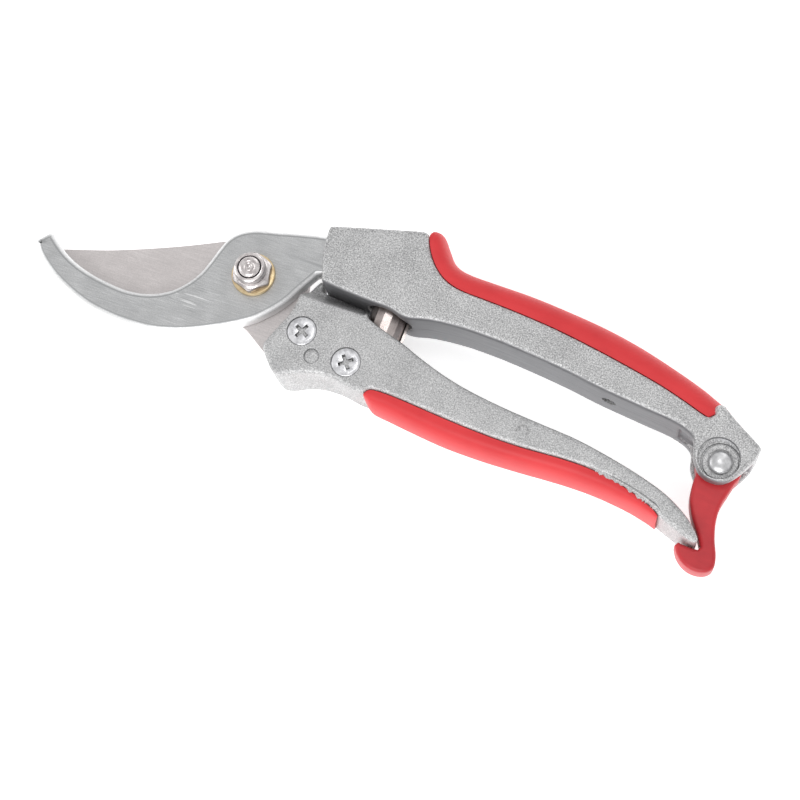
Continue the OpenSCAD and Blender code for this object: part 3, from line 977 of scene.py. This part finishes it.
@dataclass
class UpperHandle:
    """The upper casting with its grip: it holds the counter blade, the spring and the catch."""

    seam: Outline = field(default_factory=lambda: smooth([
        (42.6, 24.6), (43.6, 22.0), (45.2, 19.2), (47.8, 16.2), (51.2, 13.8), (56.0, 12.4), (64.0, 11.9),
        (74.0, 11.2), (84.0, 10.1), (94.0, 8.5), (104.0, 6.6), (114.0, 4.4), (121.5, 2.2), (126.0, 0.7),
        (128.1, 0.2)]))
    outer: Outline = field(default_factory=lambda: smooth([
        (43.4, 27.9), (46.0, 26.9), (48.4, 24.0), (50.9, 21.0), (53.6, 19.5), (57.4, 18.9), (64.6, 18.7),
        (74.6, 18.4), (85.0, 17.5), (95.6, 16.2), (106.0, 14.1), (116.2, 11.2), (124.4, 8.5), (129.4, 6.4),
        (132.6, 5.0)]))
    edge: float = 1.2
    rivet_at: Point = (134.6, -10.0)
    seat_r: float = 5.4
    seat_depth: float = 1.5
    slot: Point = (4.2, 13.9)
    spring_x: float = 39.0
    pocket_r: float = 6.45
    screw_x: float = 102.1

    def outline(self) -> Outline:
        """Gives the casting's outline."""
        left = smooth([(16.0, 18.3), (16.5, 13.0), (17.7, 8.4), (19.4, 3.2)])
        inner = smooth([
            (20.2, 2.9), (27.0, 2.2), (34.5, 1.7), (39.4, 1.5), (44.6, 0.4), (51.0, 1.7), (60.0, 2.4), (70.0, 2.1),
            (80.0, 1.2), (90.0, 0.0), (100.0, -1.6), (112.0, -3.0), (121.0, -4.1), (126.2, -6.4), (127.6, -10.8),
            (130.4, -14.4), (134.0, -15.5), (137.4, -14.5), (140.4, -11.0), (142.6, -7.0)])
        ear = [(143.4, -3.4), (142.6, -2.7)] + smooth([(139.6, -0.9), (136.0, 1.2), (132.4, 3.6)])
        block = [(41.6, 25.0), (40.4, 24.9), (29.0, 22.0), (17.2, 18.9)]
        return left + inner + ear + self.seam[::-1] + block

    def casting(self) -> Piece:
        """Makes the casting."""
        low, high = heights("upper_handle")
        middle = (low + high) / 2
        casting = Piece.plate("upper_casting", self.outline(), rounding(low, high, self.edge))
        tongue_profile = [(0, -3.2), (1.1, -2.6), (1.7, -1.2), (1.8, 0), (1.5, 1.0), (0.9, 1.6), (0, 1.9)]
        tongue = Piece.turned("tongue", tongue_profile, (130.6, 2.9, high - 1.6), 24)
        casting.join(tongue)
        x, y = self.rivet_at
        round_end = gap_round("slot_end", self.rivet_at, 6.45, *self.slot)
        mouth = [(121.9, -40.0), (150.0, -40.0), (150.0, -6.6), (x, y + 3), (127.5, -5.2), (121.9, -3.2)]
        casting.cut(round_end, Piece.plate("slot_mouth", mouth, [(self.slot[0], 0), (self.slot[1], 0)]))
        casting.cut(Piece.turned("pocket", [(0, -5), (self.pocket_r, -5), (self.pocket_r, 7.5), (0, 7.5)],
                                 (self.spring_x, 0, middle), 64, along_y=True))
        casting.soften(0.4, 5)
        seat = [(0, 0), (self.seat_r - 0.5, 0), (self.seat_r, 0.4), (self.seat_r + 0.3, 3), (0, 3)]
        casting.cut(Piece.turned("seat", seat, (x - 0.7, y + 0.7, high - self.seat_depth)))
        groove = [(4.4, 0.5), (4.7, -0.5), (5.0, -0.5), (5.3, 0.5)]
        casting.cut(Piece.turned("seat_groove", groove, (x, y, high - self.seat_depth), ring=True))
        casting.cut(gap_round("rivet_groove", self.rivet_at, 3.45, high - self.seat_depth - 0.3, high + 1))
        casting.cut(Piece.turned("screw_hole", [(0, -6), (2.0, -6), (2.0, 0.9), (0, 0.9)],
                                 (self.screw_x, 0, middle), 48, along_y=True))
        for at in ((24.0, 13.6), (34.0, 12.2)):
            casting.cut(gap_round("head_gap", at, 4.1, low - 1, low + 0.6))
        casting.cut(gap_round("rivet_rear", self.rivet_at, 3.25, low - 1, low + 0.5))
        return casting.dress(BRUSHED_SHADED_CAST).place(Body.UPPER, "upper_handle")

    def grip_screw(self) -> Piece:
        """Makes the screw that holds the grip, sunk in the inner wall."""
        low, high = heights("upper_handle")
        at = (self.screw_x, 0, (low + high) / 2)
        profile = [(0, 0.15), (1.2, 0.15), (1.7, 0.3), (1.8, 0.5), (1.8, 0.95), (1.2, 0.98), (1.2, 10.8), (0, 10.8)]
        screw = Piece.turned("grip_screw", profile, at, 40, along_y=True)
        for wide, tall in ((1.05, 0.22), (0.22, 1.05)):
            screw.cut(Piece.block("recess", (at[0] - wide, -1.0, at[2] - tall), (at[0] + wide, 0.6, at[2] + tall)))
        # The whole grip screw is painted near-black: painted shade in its hole.
        return screw.dress(RECESS_SHADE_ZINC).place(Body.UPPER, "upper_grip_screw")

    def counter_screws(self) -> None:
        """Makes the two screws on the rear that hold the counter blade."""
        low = heights("upper_handle")[0]
        for i, (at, turn) in enumerate((((24.0, 13.6), 20.0), ((34.0, 12.2), 62.0))):
            kind, face = CrossScrew(), low + 0.05
            screw = kind.build(f"counter_blade_screw_{i + 1}", at, face, 15.4, Side.REAR, turn)
            kind.dressed(screw, at, face, Side.REAR).place(Body.UPPER, "counter_blade_screws")

    def build(self) -> None:
        """Makes the whole sub-assembly."""
        low, high = heights("upper_handle")
        self.casting()
        Grip("upper_moulded_grip", "upper_grip", Body.UPPER, self.seam, self.outer, (low + high) / 2).build()
        self.grip_screw()
        self.counter_screws()


@dataclass
class LowerHandle:
    """The lower casting with its grip: it carries the cutting blade and ends in the tail."""

    seam: Outline = field(default_factory=lambda: smooth([
        (41.2, -22.6), (42.8, -21.0), (48.0, -20.8), (56.0, -21.4), (65.0, -22.2), (75.0, -22.8), (85.0, -22.9),
        (95.0, -22.4), (103.0, -22.4), (110.0, -23.3), (116.5, -25.0), (121.8, -27.0), (124.0, -28.4)]))
    outer: Outline = field(default_factory=lambda: smooth([
        (41.6, -23.6), (43.6, -24.8), (48.4, -25.5), (56.0, -26.5), (65.0, -27.4), (75.0, -27.6), (85.0, -27.3),
        (95.0, -26.8), (103.0, -26.7), (110.0, -27.1), (116.5, -27.9), (121.4, -28.9), (123.8, -29.5)]))
    edge: float = 1.2
    shoulder_x: Point = (5.0, 34.4)
    shoulder_y: Point = (-2.6, 1.4)
    spring_x: float = 39.0
    pocket_r: float = 6.45
    screws_at: tuple[Point, ...] = ((19.7, -11.9), (34.0, -16.2))
    pin_at: Point = (24.7, -17.6)
    lug_at: Point = (84.4, -19.0)
    spur: Outline = field(default_factory=lambda: [
        (15.1, -3.0), (18.7, -3.0), (18.7, 2.2), (18.2, 4.6), (17.7, 5.6), (17.0, 5.3), (15.9, 3.2), (15.2, 0.6)])
    spur_gap: float = 0.3
    groove: Outline = field(default_factory=lambda: smooth([
        (104.0, -22.0), (112.0, -23.0), (118.0, -24.4), (122.6, -26.0), (124.0, -26.9)], 8))

    def outline(self) -> Outline:
        """Gives the casting's outline."""
        nose = smooth([(19.6, 2.5), (17.4, 2.5), (15.6, 2.0), (15.0, 0.0), (15.2, -3.4), (14.8, -7.4), (13.4, -11.4),
                       (11.5, -16.4), (11.0, -18.9), (12.8, -21.5), (15.2, -24.1)])
        belly = smooth([(17.2, -25.1), (19.8, -24.6), (23.0, -23.0), (27.5, -21.7), (33.0, -21.6), (38.6, -22.5)])
        tail = smooth([(126.4, -29.4), (130.4, -30.9), (133.2, -32.0)])
        inner = smooth([
            (134.8, -32.1), (135.4, -31.1), (133.8, -28.9), (130.4, -25.9), (124.0, -22.4), (116.0, -19.8),
            (107.0, -17.7), (98.0, -16.1), (88.0, -15.2), (78.0, -14.3), (68.0, -12.9), (60.0, -11.1),
            (52.0, -8.5), (46.6, -6.4), (40.0, -4.4), (35.2, -2.6)])
        return nose + belly + self.seam + tail + inner + [(34.4, -1.4), (33.6, 0.9)]

    def shoulder(self, high: float) -> Piece:
        """Makes the cutter for the slope between the casting's face and the counter blade.

        Args:
            high: the level of the casting's face.

        Returns:
            The cutter.
        """
        floor = heights("cutting_blade")[1] + 0.2
        head, foot = self.shoulder_y
        profile = [(head, high), (foot, floor), (6.0, floor), (6.0, high + 2), (head, high + 2)]
        rings = [[(x, y, z) for y, z in profile] for x in self.shoulder_x]
        return Piece.loft("shoulder", rings)

    def casting(self) -> Piece:
        """Makes the casting."""
        low, high = heights("lower_handle")
        middle = (low + high) / 2
        casting = Piece.plate("lower_casting", self.outline(), rounding(low, high, self.edge))
        casting.cut(self.shoulder(high))
        spur_top = heights("counter_blade")[0] - self.spur_gap
        casting.join(Piece.plate("spur", self.spur, [(low + self.edge, 0), (spur_top, 0)]))
        casting.cut(Piece.turned("pocket", [(0, -9.5), (self.pocket_r, -9.5), (self.pocket_r, 5), (0, 5)],
                                 (self.spring_x, 0, middle), 64, along_y=True))
        casting.soften(0.4, 5)
        for at in self.screws_at:
            casting.cut(gap_round("head_gap", at, 4.1, high - 0.7, high + 1))
        casting.cut(gap_round("pin_gap", self.pin_at, 2.12, high - 0.6, high + 1))
        casting.cut(gap_round("lug_pin_gap", self.lug_at, 1.86, high - 0.2, high + 1))
        self.cut_groove(casting, high)
        return casting.dress(CAST).place(Body.LOWER, "lower_handle")

    def beside(self, path: Outline, aside: Sequence[float]) -> Outline:
        """Gives a line beside a path.

        Args:
            path: the path.
            aside: how far to its left each point lies.

        Returns:
            The points of the line.
        """
        line: Outline = []
        for i, by in enumerate(aside):
            a, b = path[max(i - 1, 0)], path[min(i + 1, len(path) - 1)]
            length = math.dist(a, b)
            line.append((path[i][0] - (b[1] - a[1]) / length * by, path[i][1] + (b[0] - a[0]) / length * by))
        return line

    def cut_groove(self, casting: Piece, high: float) -> None:
        """Cuts the fine groove that runs beside the rear end of the grip.

        Args:
            casting: the casting.
            high: the level of its face.
        """
        half = [0.17 * math.sin(math.pi * i / (len(self.groove) - 1)) + 0.03 for i in range(len(self.groove))]
        left, right = self.beside(self.groove, half), self.beside(self.groove, [-h for h in half])
        casting.cut(Piece.plate("groove", right + left[::-1], [(high - 0.5, 0), (high + 1, 0)]))

    def flash(self, high: float) -> Piece:
        """Makes the ragged flash that was left on the grip's edge beside the groove.

        Args:
            high: the level of the casting's face.

        Returns:
            The flash.
        """
        draw = random.Random(7)
        path = smooth([(105.0, -22.3), (112.0, -23.5), (118.0, -25.0), (121.5, -26.2), (123.4, -27.2)], 9)
        reach = [0.0 if i in (0, len(path) - 1) else draw.uniform(0.15, 1.05) for i in range(len(path))]
        inner, outer = self.beside(path, [0.55] * len(path)), self.beside(path, [-r for r in reach])
        flash = Piece.plate("grip_flash", outer + inner[::-1], [(high - 1.6, 0), (high - 0.45, 0), (high - 0.25, 0.12)])
        return flash.dress(CAST).place(Body.LOWER)

    def fasteners(self) -> None:
        """Makes the blade's screws and the two pins."""
        low, high = heights("lower_handle")
        blade_low = heights("cutting_blade")[0]
        for i, (at, turn) in enumerate(zip(self.screws_at, (62.0, 38.0))):
            kind, face = CrossScrew(), high - 0.05
            screw = kind.build(f"blade_screw_{i + 1}", at, face, high - blade_low, Side.NUT, turn)
            kind.dressed(screw, at, face, Side.NUT).place(Body.LOWER, "blade_screws")
        pins = (("locating_pin_head", "locating_pin", self.pin_at, 2.02, 0.22, blade_low),
                ("lug_pin_head", "lower_grip_pin", self.lug_at, 1.79, 0.06, low + 3))
        for name, node, at, radius, sunk, foot in pins:
            top = high - sunk
            profile = [(0, foot), (radius, foot), (radius, top - 0.25), (radius - 0.25, top - 0.05),
                       (radius - 0.9, top), (0, top - 0.04)]
            Piece.turned(name, profile, (*at, 0), 48).dress(CAST).place(Body.LOWER, node)

    def build(self) -> None:
        """Makes the whole sub-assembly."""
        low, high = heights("lower_handle")
        self.casting()
        Grip("lower_moulded_grip", "lower_grip", Body.LOWER, self.seam, self.outer, (low + high) / 2,
             front_round=3.2).build()
        self.flash(high)
        self.fasteners()


# ---------------------------------------------------------------- blades


@dataclass
class Blades:
    """The hooked counter blade and the cutting blade that passes behind it."""

    hook_chamfer: float = 1.3
    outer_share: float = 0.95
    bevel: float = 5.5
    disc_r: float = 14.6
    tang_low: float = 8.6
    tang_end: float = 40.0

    def counter_blade(self) -> Piece:
        """Makes the counter blade, with the chamfer along its hook."""
        outer = smooth([
            (-62.4, -9.4), (-60.2, -12.6), (-55.2, -16.5), (-49.0, -19.7), (-42.0, -22.2), (-35.0, -23.4),
            (-28.0, -23.7), (-21.0, -23.2), (-14.0, -21.4), (-7.6, -18.7), (-1.4, -15.5), (4.0, -12.1), (8.0, -8.2),
            (11.2, -4.0), (13.6, 0.6), (16.4, 5.6)])
        tang = [(21.0, self.tang_low), (self.tang_end, self.tang_low), (self.tang_end, 16.4), (24.0, 17.0)]
        inner = smooth([
            (16.4, 17.3), (9.4, 16.0), (2.0, 14.2), (-4.6, 12.6), (-8.4, 10.6), (-10.9, 7.8), (-12.3, 4.0),
            (-13.4, 0.0), (-14.8, -4.0), (-17.2, -7.8), (-20.6, -11.2), (-25.4, -13.7), (-31.4, -14.9),
            (-37.8, -14.6), (-44.0, -13.6), (-49.6, -11.9), (-54.4, -9.4), (-58.4, -6.4)])
        share = [self.outer_share] * len(outer) + [0.0] * len(tang) + [1.0] * len(inner) + [1.3]
        low, high = heights("counter_blade")
        c = self.hook_chamfer
        levels = [(low, 0.12), (low + 0.12, 0.0), (high - c * 0.85, 0.0), (high - c * 0.62, 0.10),
                  (high - c * 0.30, c * 0.42), (high - c * 0.08, c * 0.86), (high, c * 1.12),
                  (high, c * 1.12 + LEVEL_RIM)]
        hook = Piece.plate("hooked_counter_blade", outer + tang + inner + [(-59.9, -6.3)], levels, share)
        return hook.dress(HOOK_STEEL, 40).place(Body.UPPER, "counter_blade")

    def cutting_blade(self) -> Piece:
        """Makes the cutting blade, with its bevel on the rear."""
        edge = smooth([(-55.8, -9.9), (-50.6, -13.1), (-44.0, -15.7), (-37.0, -17.0), (-30.0, -17.0),
                       (-23.4, -15.9), (-17.0, -14.2), (-11.6, -13.4)])
        heel = smooth([(-6.0, -13.9), (-2.0, -14.0), (1.6, -13.9), (5.0, -15.7), (9.0, -18.2), (13.0, -20.2),
                       (20.0, -20.6), (29.0, -20.2), (38.0, -20.0)])
        tang = [(40.5, -18.5), (40.5, -12.5), (30.0, -9.2), (18.5, -5.4)]
        disc = arc((0, 0), self.disc_r, -12, 140, 40)
        spine = smooth([(-12.2, 8.0), (-22.0, 3.4), (-32.0, -0.8), (-42.0, -4.6), (-50.0, -7.1)])
        rest = len(heel) + len(tang) + len(disc) + len(spine) - 6
        share = ([min(1.0, 0.15 + 0.05 * i) for i in range(len(edge))] + [0.8, 0.6, 0.4, 0.25, 0.12, 0.05]
                 + [0.0] * rest + [0.1])
        low, high = heights("cutting_blade")
        levels = [(low, self.bevel + LEVEL_RIM), (low, self.bevel), (high - 0.3, 0.0), (high - 0.06, 0.0),
                  (high, 0.004)]
        blade = Piece.plate("ground_cutting_blade", edge + heel + tang + disc + spine + [(-55.4, -8.7)], levels, share)
        return blade.dress(BLADE_STEEL, 30).place(Body.LOWER, "cutting_blade")

    def build(self) -> None:
        """Makes both blades."""
        self.counter_blade()
        self.cutting_blade()


# ---------------------------------------------------------------- pivot


@dataclass
class Pivot:
    """The bolt, its two washers and the lock nut with its nylon ring."""

    across_flats: float = 10.0
    bolt_r: float = 3.0
    washer_r: float = 6.0
    collar_r: float = 4.3
    insert_w: float = 0.6
    nut_turn: float = -18.5

    def hexagon(self, name: str, low: float, high: float, turn: float) -> Piece:
        """Makes a hexagonal bar.

        Args:
            name: its name.
            low: its lower end.
            high: its upper end.
            turn: degrees that it is turned by.

        Returns:
            The bar.
        """
        corners = arc((0, 0), self.across_flats / math.sqrt(3), turn, turn + 300, 5)
        return Piece.plate(name, corners, [(low, 0), (high, 0)])

    def washer(self, name: str, node: str, finish: Finish) -> Piece:
        """Makes a washer with rolled edges.

        Args:
            name: its name.
            node: the CAD node that it stands for.
            finish: its finish.

        Returns:
            The washer.
        """
        low, high = heights(node)
        r, e = self.washer_r, 0.22
        profile = [(self.bolt_r, low), (r - e, low), (r, low + e), (r, high - e), (r - e * 0.4, high - e * 0.35),
                   (r - e * 1.4, high), (self.bolt_r, high)]
        return Piece.turned(name, profile, (0, 0, 0), ring=True).dress(finish).place(Body.UPPER, node)

    def nut(self) -> Piece:
        """Makes the lock nut: a hexagon with turned corners and a rolled collar."""
        low, high = heights("lock_nut")
        hex_top = low + 0.5 * (high - low)
        flat_r = self.across_flats / 2
        nut = self.hexagon("lock_nut_body", low, hex_top, self.nut_turn)
        turned = [(0, low - 0.1), (flat_r + 0.2, low - 0.1), (flat_r + 0.6, low + 0.35), (flat_r + 0.6, hex_top - 1.1),
                  (flat_r, hex_top - 0.4), (flat_r - 0.6, hex_top + 0.05), (0, hex_top + 0.05)]
        nut.combine("INTERSECT", [Piece.turned("corners", turned, (0, 0, 0), 96)])
        nut.round_edges(0.16)
        c = self.collar_r
        collar = [(0, low + 1), (c + 0.35, low + 1), (c + 0.3, hex_top), (c + 0.02, hex_top + 0.35), (c, high - 0.75),
                  (c - 0.15, high - 0.3), (c - 0.5, high - 0.04), (c - 0.9, high), (c - 1.15, high - 0.25),
                  (0, high - 0.25)]
        nut.join(Piece.turned("collar", collar, (0, 0, 0), 96))
        nut.cut(gap_round("bore", (0, 0), self.bolt_r + self.insert_w / 2, hex_top - 0.4, high + 1))
        nut.cut(gap_round("thread", (0, 0), self.bolt_r, low - 1, high))

        def shaded_flats(middle: Vector, facing: Vector) -> bool:
            """Tells whether a face is on the hexagon's flats, which get painted shade."""
            return middle.z < hex_top - 0.2 and abs(facing.z) < 0.4 and math.hypot(middle.x, middle.y) > c + 0.45

        return nut.dress(NUT_ZINC, 32).tint(SHADED_FLAT_ZINC, shaded_flats).place(Body.UPPER, "lock_nut")

    def bolt(self) -> Piece:
        """Makes the bolt with a hexagon head and a domed end turned in rings."""
        low, high = heights("pivot_bolt")
        head_top = heights("bolt_head_washer")[0]
        flat_r = self.across_flats / 2
        bolt = self.hexagon("pivot_bolt_body", low, head_top, 30.0)
        turned = [(0, low), (flat_r - 0.4, low), (flat_r + 0.25, low + 0.35), (flat_r + 0.9, low + 0.9),
                  (flat_r + 0.9, head_top + 1), (0, head_top + 1)]
        bolt.combine("INTERSECT", [Piece.turned("corners", turned, (0, 0, 0), 96)])
        bolt.round_edges(0.15)
        r = self.bolt_r
        end = [(0, head_top - 1), (r, head_top - 1), (r, high - 0.95), (r - 0.10, high - 0.72), (r - 0.42, high - 0.42),
               (r - 0.95, high - 0.20), (1.55, high - 0.10), (1.35, high - 0.22), (1.15, high - 0.10),
               (0.85, high - 0.02), (0.65, high - 0.16), (0.40, high - 0.16), (0.28, high - 0.05), (0, high)]
        bolt.join(Piece.turned("shank", end, (0, 0, 0), 72))
        return bolt.dress(NUT_ZINC, 32).place(Body.UPPER, "pivot_bolt")

    def insert(self) -> Piece:
        """Makes the nylon ring inside the nut."""
        low, high = heights("nut_insert")
        inner, outer = self.bolt_r, self.bolt_r + self.insert_w
        profile = [(inner, low), (outer, low), (outer, high - 0.1), (outer - 0.15, high), (inner + 0.15, high),
                   (inner, high - 0.15)]
        ring = Piece.turned("nylon_ring", profile, (0, 0, 0), ring=True)
        return ring.dress(NYLON).place(Body.UPPER, "nut_insert")

    def build(self) -> None:
        """Makes the whole pivot."""
        self.washer("yellow_washer", "nut_washer", YELLOW_ZINC)
        self.washer("head_washer", "bolt_head_washer", ZINC)
        self.nut()
        self.bolt()
        self.insert()


# ---------------------------------------------------------------- spring


@dataclass
class VoluteSpring:
    """A steel strip wound into a spiral; the turns that slide out of each other on the real spring are not made to
    move.
    """

    strip: float = 0.7
    pitch: float = 1.05
    turns: float = 3.5
    per_turn: int = 14
    phase: float = 5.0
    rows: int = 8

    def build(self) -> Piece:
        """Makes the spring in its resting place; it rides on neither handle."""
        low, high = (tuple(c / MM for c in corner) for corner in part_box("volute_spring"))
        outer_r = (high[2] - low[2]) / 2
        axis = (low[0] + outer_r, (low[2] + high[2]) / 2)
        steps = round(self.turns * self.per_turn)
        rings: list[list[Place]] = []
        for i in range(steps + 1):
            turn = i / self.per_turn
            r = outer_r - max(0.0, turn - 0.08) * self.pitch
            a = 2 * math.pi * turn + math.radians(self.phase)
            profile = [(r, low[1] + (high[1] - low[1]) * k / self.rows) for k in range(self.rows + 1)]
            profile += [(r - self.strip, y) for _, y in reversed(profile)]
            rings.append([(axis[0] + rad * math.cos(a), y, axis[1] - rad * math.sin(a)) for rad, y in profile])
        spring = Piece.loft("wound_spring", rings)
        spring.object.data.validate()
        spring.dress(SPRING_STEEL, 14)
        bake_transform(spring.object, Body.UPPER.value, Body.LOWER.value, start=(axis[0] * MM, high[1] * MM, axis[1] * MM),
                 end=(axis[0] * MM, low[1] * MM, axis[1] * MM))
        self.slide(spring.object, axis, outer_r)
        spring.stand_for("volute_spring")
        return spring

    def slide(self, spring: bpy.types.Object, axis: Point, outer_r: float) -> None:
        """Works out which turn of the strip each point lies on, but moves nothing.

        Args:
            spring: the spring.
            axis: x and z of the spring's axis.
            outer_r: its outer radius.
        """
        for vertex in spring.data.vertices:
            x, z = vertex.co[0] / MM - axis[0], vertex.co[2] / MM - axis[1]
            part = ((math.atan2(-z, x) - math.radians(self.phase)) / (2 * math.pi)) % 1.0
            middle = outer_r - self.strip / 2 - math.hypot(x, z)
            whole = round(middle / self.pitch + 0.08 - part)


# ---------------------------------------------------------------- catch


@dataclass
class Catch:
    """The safety catch with its rivet and wave washer."""

    rivet_at: Point = (134.6, -10.0)
    head_r: float = 6.0
    lip_r: float = 22.6
    edge: float = 1.0
    rivet_head_r: float = 3.1
    dome: float = 1.6

    def lever(self) -> Piece:
        """Makes the moulded catch."""
        stem = smooth([(129.6, -13.4), (129.6, -17.4), (130.4, -21.4), (132.4, -25.4), (135.0, -29.0), (136.5, -31.6)])
        lip = arc(self.rivet_at, self.lip_r, -86.2, -99.5, 6)
        back = smooth([(130.2, -33.3), (131.6, -35.6), (134.2, -37.5), (137.2, -38.1), (139.9, -37.4), (141.3, -35.6),
                       (140.9, -32.6), (139.4, -28.8), (138.3, -24.6), (138.1, -20.2), (139.0, -16.0)])
        head = arc(self.rivet_at, self.head_r, -32, 210, 36)
        low, high = heights("safety_catch")
        levels = rounding(low, low + 4, 1.6)[:5] + rounding(high - 4, high, self.edge)[5:]
        levels = [(low, levels[0][1] + LEVEL_RIM)] + levels + [(high, levels[-1][1] + LEVEL_RIM)]
        lever = Piece.plate("catch_lever", stem + lip + back + head, levels)
        lever.cut(gap_round("pin_hole", self.rivet_at, 2.05, low - 1, high + 1))
        return lever.dress(CATCH_RED, 40).place(Body.CATCH, "safety_catch")

    def rivet(self) -> Piece:
        """Makes the rivet, with its dome in the round seat and its flat end on the rear."""
        low, high = heights("catch_rivet")
        seat = high - self.dome
        r = self.rivet_head_r
        dome = [(r * math.sin(math.radians(90 - 10 * k)), seat + self.dome * math.sin(math.radians(10 * k)))
                for k in range(1, 9)]
        profile = [(0, low), (r - 0.3, low), (r, low + 0.25), (r, low + 1), (2, low + 1), (2, seat), (r - 0.05, seat),
                   (r, seat + 0.15)] + dome + [(0, high)]
        return Piece.turned("catch_rivet_body", profile, (*self.rivet_at, 0)).dress(RIVET, 40).place(
            Body.UPPER, "catch_rivet")

    def wave_washer(self) -> Piece:
        """Makes the wave washer between the catch and the upper side of its slot."""
        low, high = heights("catch_wave_washer")
        inner, outer, thick = 2.0, 4.6, 0.3
        middle, sway = (low + high) / 2, (high - low - thick) / 2
        rings: list[list[Place]] = []
        for i in range(72):
            a = math.radians(5 * i)
            z = middle + sway * math.cos(3 * a)
            section = ((inner, z - thick / 2), (outer, z - thick / 2), (outer, z + thick / 2), (inner, z + thick / 2))
            rings.append([(self.rivet_at[0] + r * math.cos(a), self.rivet_at[1] + r * math.sin(a), h)
                          for r, h in section])
        washer = Piece.loft("wave_washer", rings, closed=True)
        return washer.dress(ZINC, 50).place(Body.UPPER, "catch_wave_washer")

    def build(self) -> None:
        """Makes the whole catch."""
        self.lever()
        self.rivet()
        self.wave_washer()


# ---------------------------------------------------------------- studio


@dataclass
class Studio:
    """The pale floor, the soft lights and the camera."""

    camera_at: Place = (136.7, -118.6, 455.0)
    aim: Place = (47.8, -17.3, 0.0)
    up: Place = (-0.311, 0.913, 0.264)
    lens: float = 78.39
    floor_size: float = 4000.0
    floor_glow: float = 0.60
    sky: float = 0.78

    def floor(self) -> None:
        """Lays the floor."""
        half, drop = self.floor_size / 2, -FLOOR_DROP
        corners = [(-half, -half, drop), (half, -half, drop), (half, half, drop), (-half, half, drop)]
        floor = Piece("floor", corners, [(0, 1, 2, 3)])
        shade = Shade("pale_floor")
        shade.surface.inputs["Base Color"].default_value = (0.95, 0.95, 0.95, 1)
        shade.surface.inputs["Roughness"].default_value = 0.9
        shade.surface.inputs["Specular IOR Level"].default_value = 0.1
        shade.surface.inputs["Emission Color"].default_value = (1, 1, 1, 1)
        shade.surface.inputs["Emission Strength"].default_value = self.floor_glow
        floor.object.data.materials.append(shade.material)

    def light(self, name: str, at: Place, size: float, power: float) -> None:
        """Hangs one soft light that faces the shears.

        Args:
            name: its name.
            at: where it hangs.
            size: the side of its square.
            power: its power in watts.
        """
        lamp = bpy.data.lights.new(name, "AREA")
        lamp.shape = "SQUARE"
        lamp.size = size * MM
        lamp.energy = power
        hung = bpy.data.objects.new(name, lamp)
        hung.location = [c * MM for c in at]
        hung.rotation_euler = (Vector([c * MM for c in LIT_POINT]) - hung.location).to_track_quat("-Z", "Y").to_euler()
        bpy.context.scene.collection.objects.link(hung)

    def camera(self) -> None:
        """Sets the camera up."""
        data = bpy.data.cameras.new("camera")
        data.lens = self.lens
        data.sensor_width = SENSOR_WIDTH
        data.clip_start = 0.01
        taken = bpy.data.objects.new("camera", data)
        ahead = (Vector(self.aim) - Vector(self.camera_at)).normalized()
        right = ahead.cross(Vector(self.up)).normalized()
        top = right.cross(ahead)
        turned = Matrix((right, top, -ahead)).transposed().to_4x4()
        taken.matrix_world = Matrix.Translation(Vector(self.camera_at) * MM) @ turned
        bpy.context.scene.collection.objects.link(taken)
        bpy.context.scene.camera = taken

    def build(self) -> None:
        """Sets the studio up."""
        self.floor()
        self.light("key_light", (150, -700, 600), 500, 3.0)
        self.light("back_light", (150, 950, 380), 500, 0.5)
        self.light("strip_light", (25, 195, 880), 150, 0.42)
        self.light("side_light", (-900, -150, 380), 500, 1.2)
        world = bpy.data.worlds.new("studio")
        world.use_nodes = True
        background = world.node_tree.nodes["Background"]
        background.inputs["Color"].default_value = (1, 1, 1, 1)
        background.inputs["Strength"].default_value = self.sky
        bpy.context.scene.world = world
        bpy.context.scene.view_settings.view_transform = "Standard"
        self.camera()


def main() -> None:
    """Builds the shears and the studio in order."""
    logging.basicConfig(level=logging.INFO, format="%(name)s %(message)s")
    UpperHandle().build()
    LowerHandle().build()
    Blades().build()
    Pivot().build()
    VoluteSpring().build()
    Catch().build()
    Studio().build()
    log.info("sizes written")


if __name__ == "__main__":
    main()
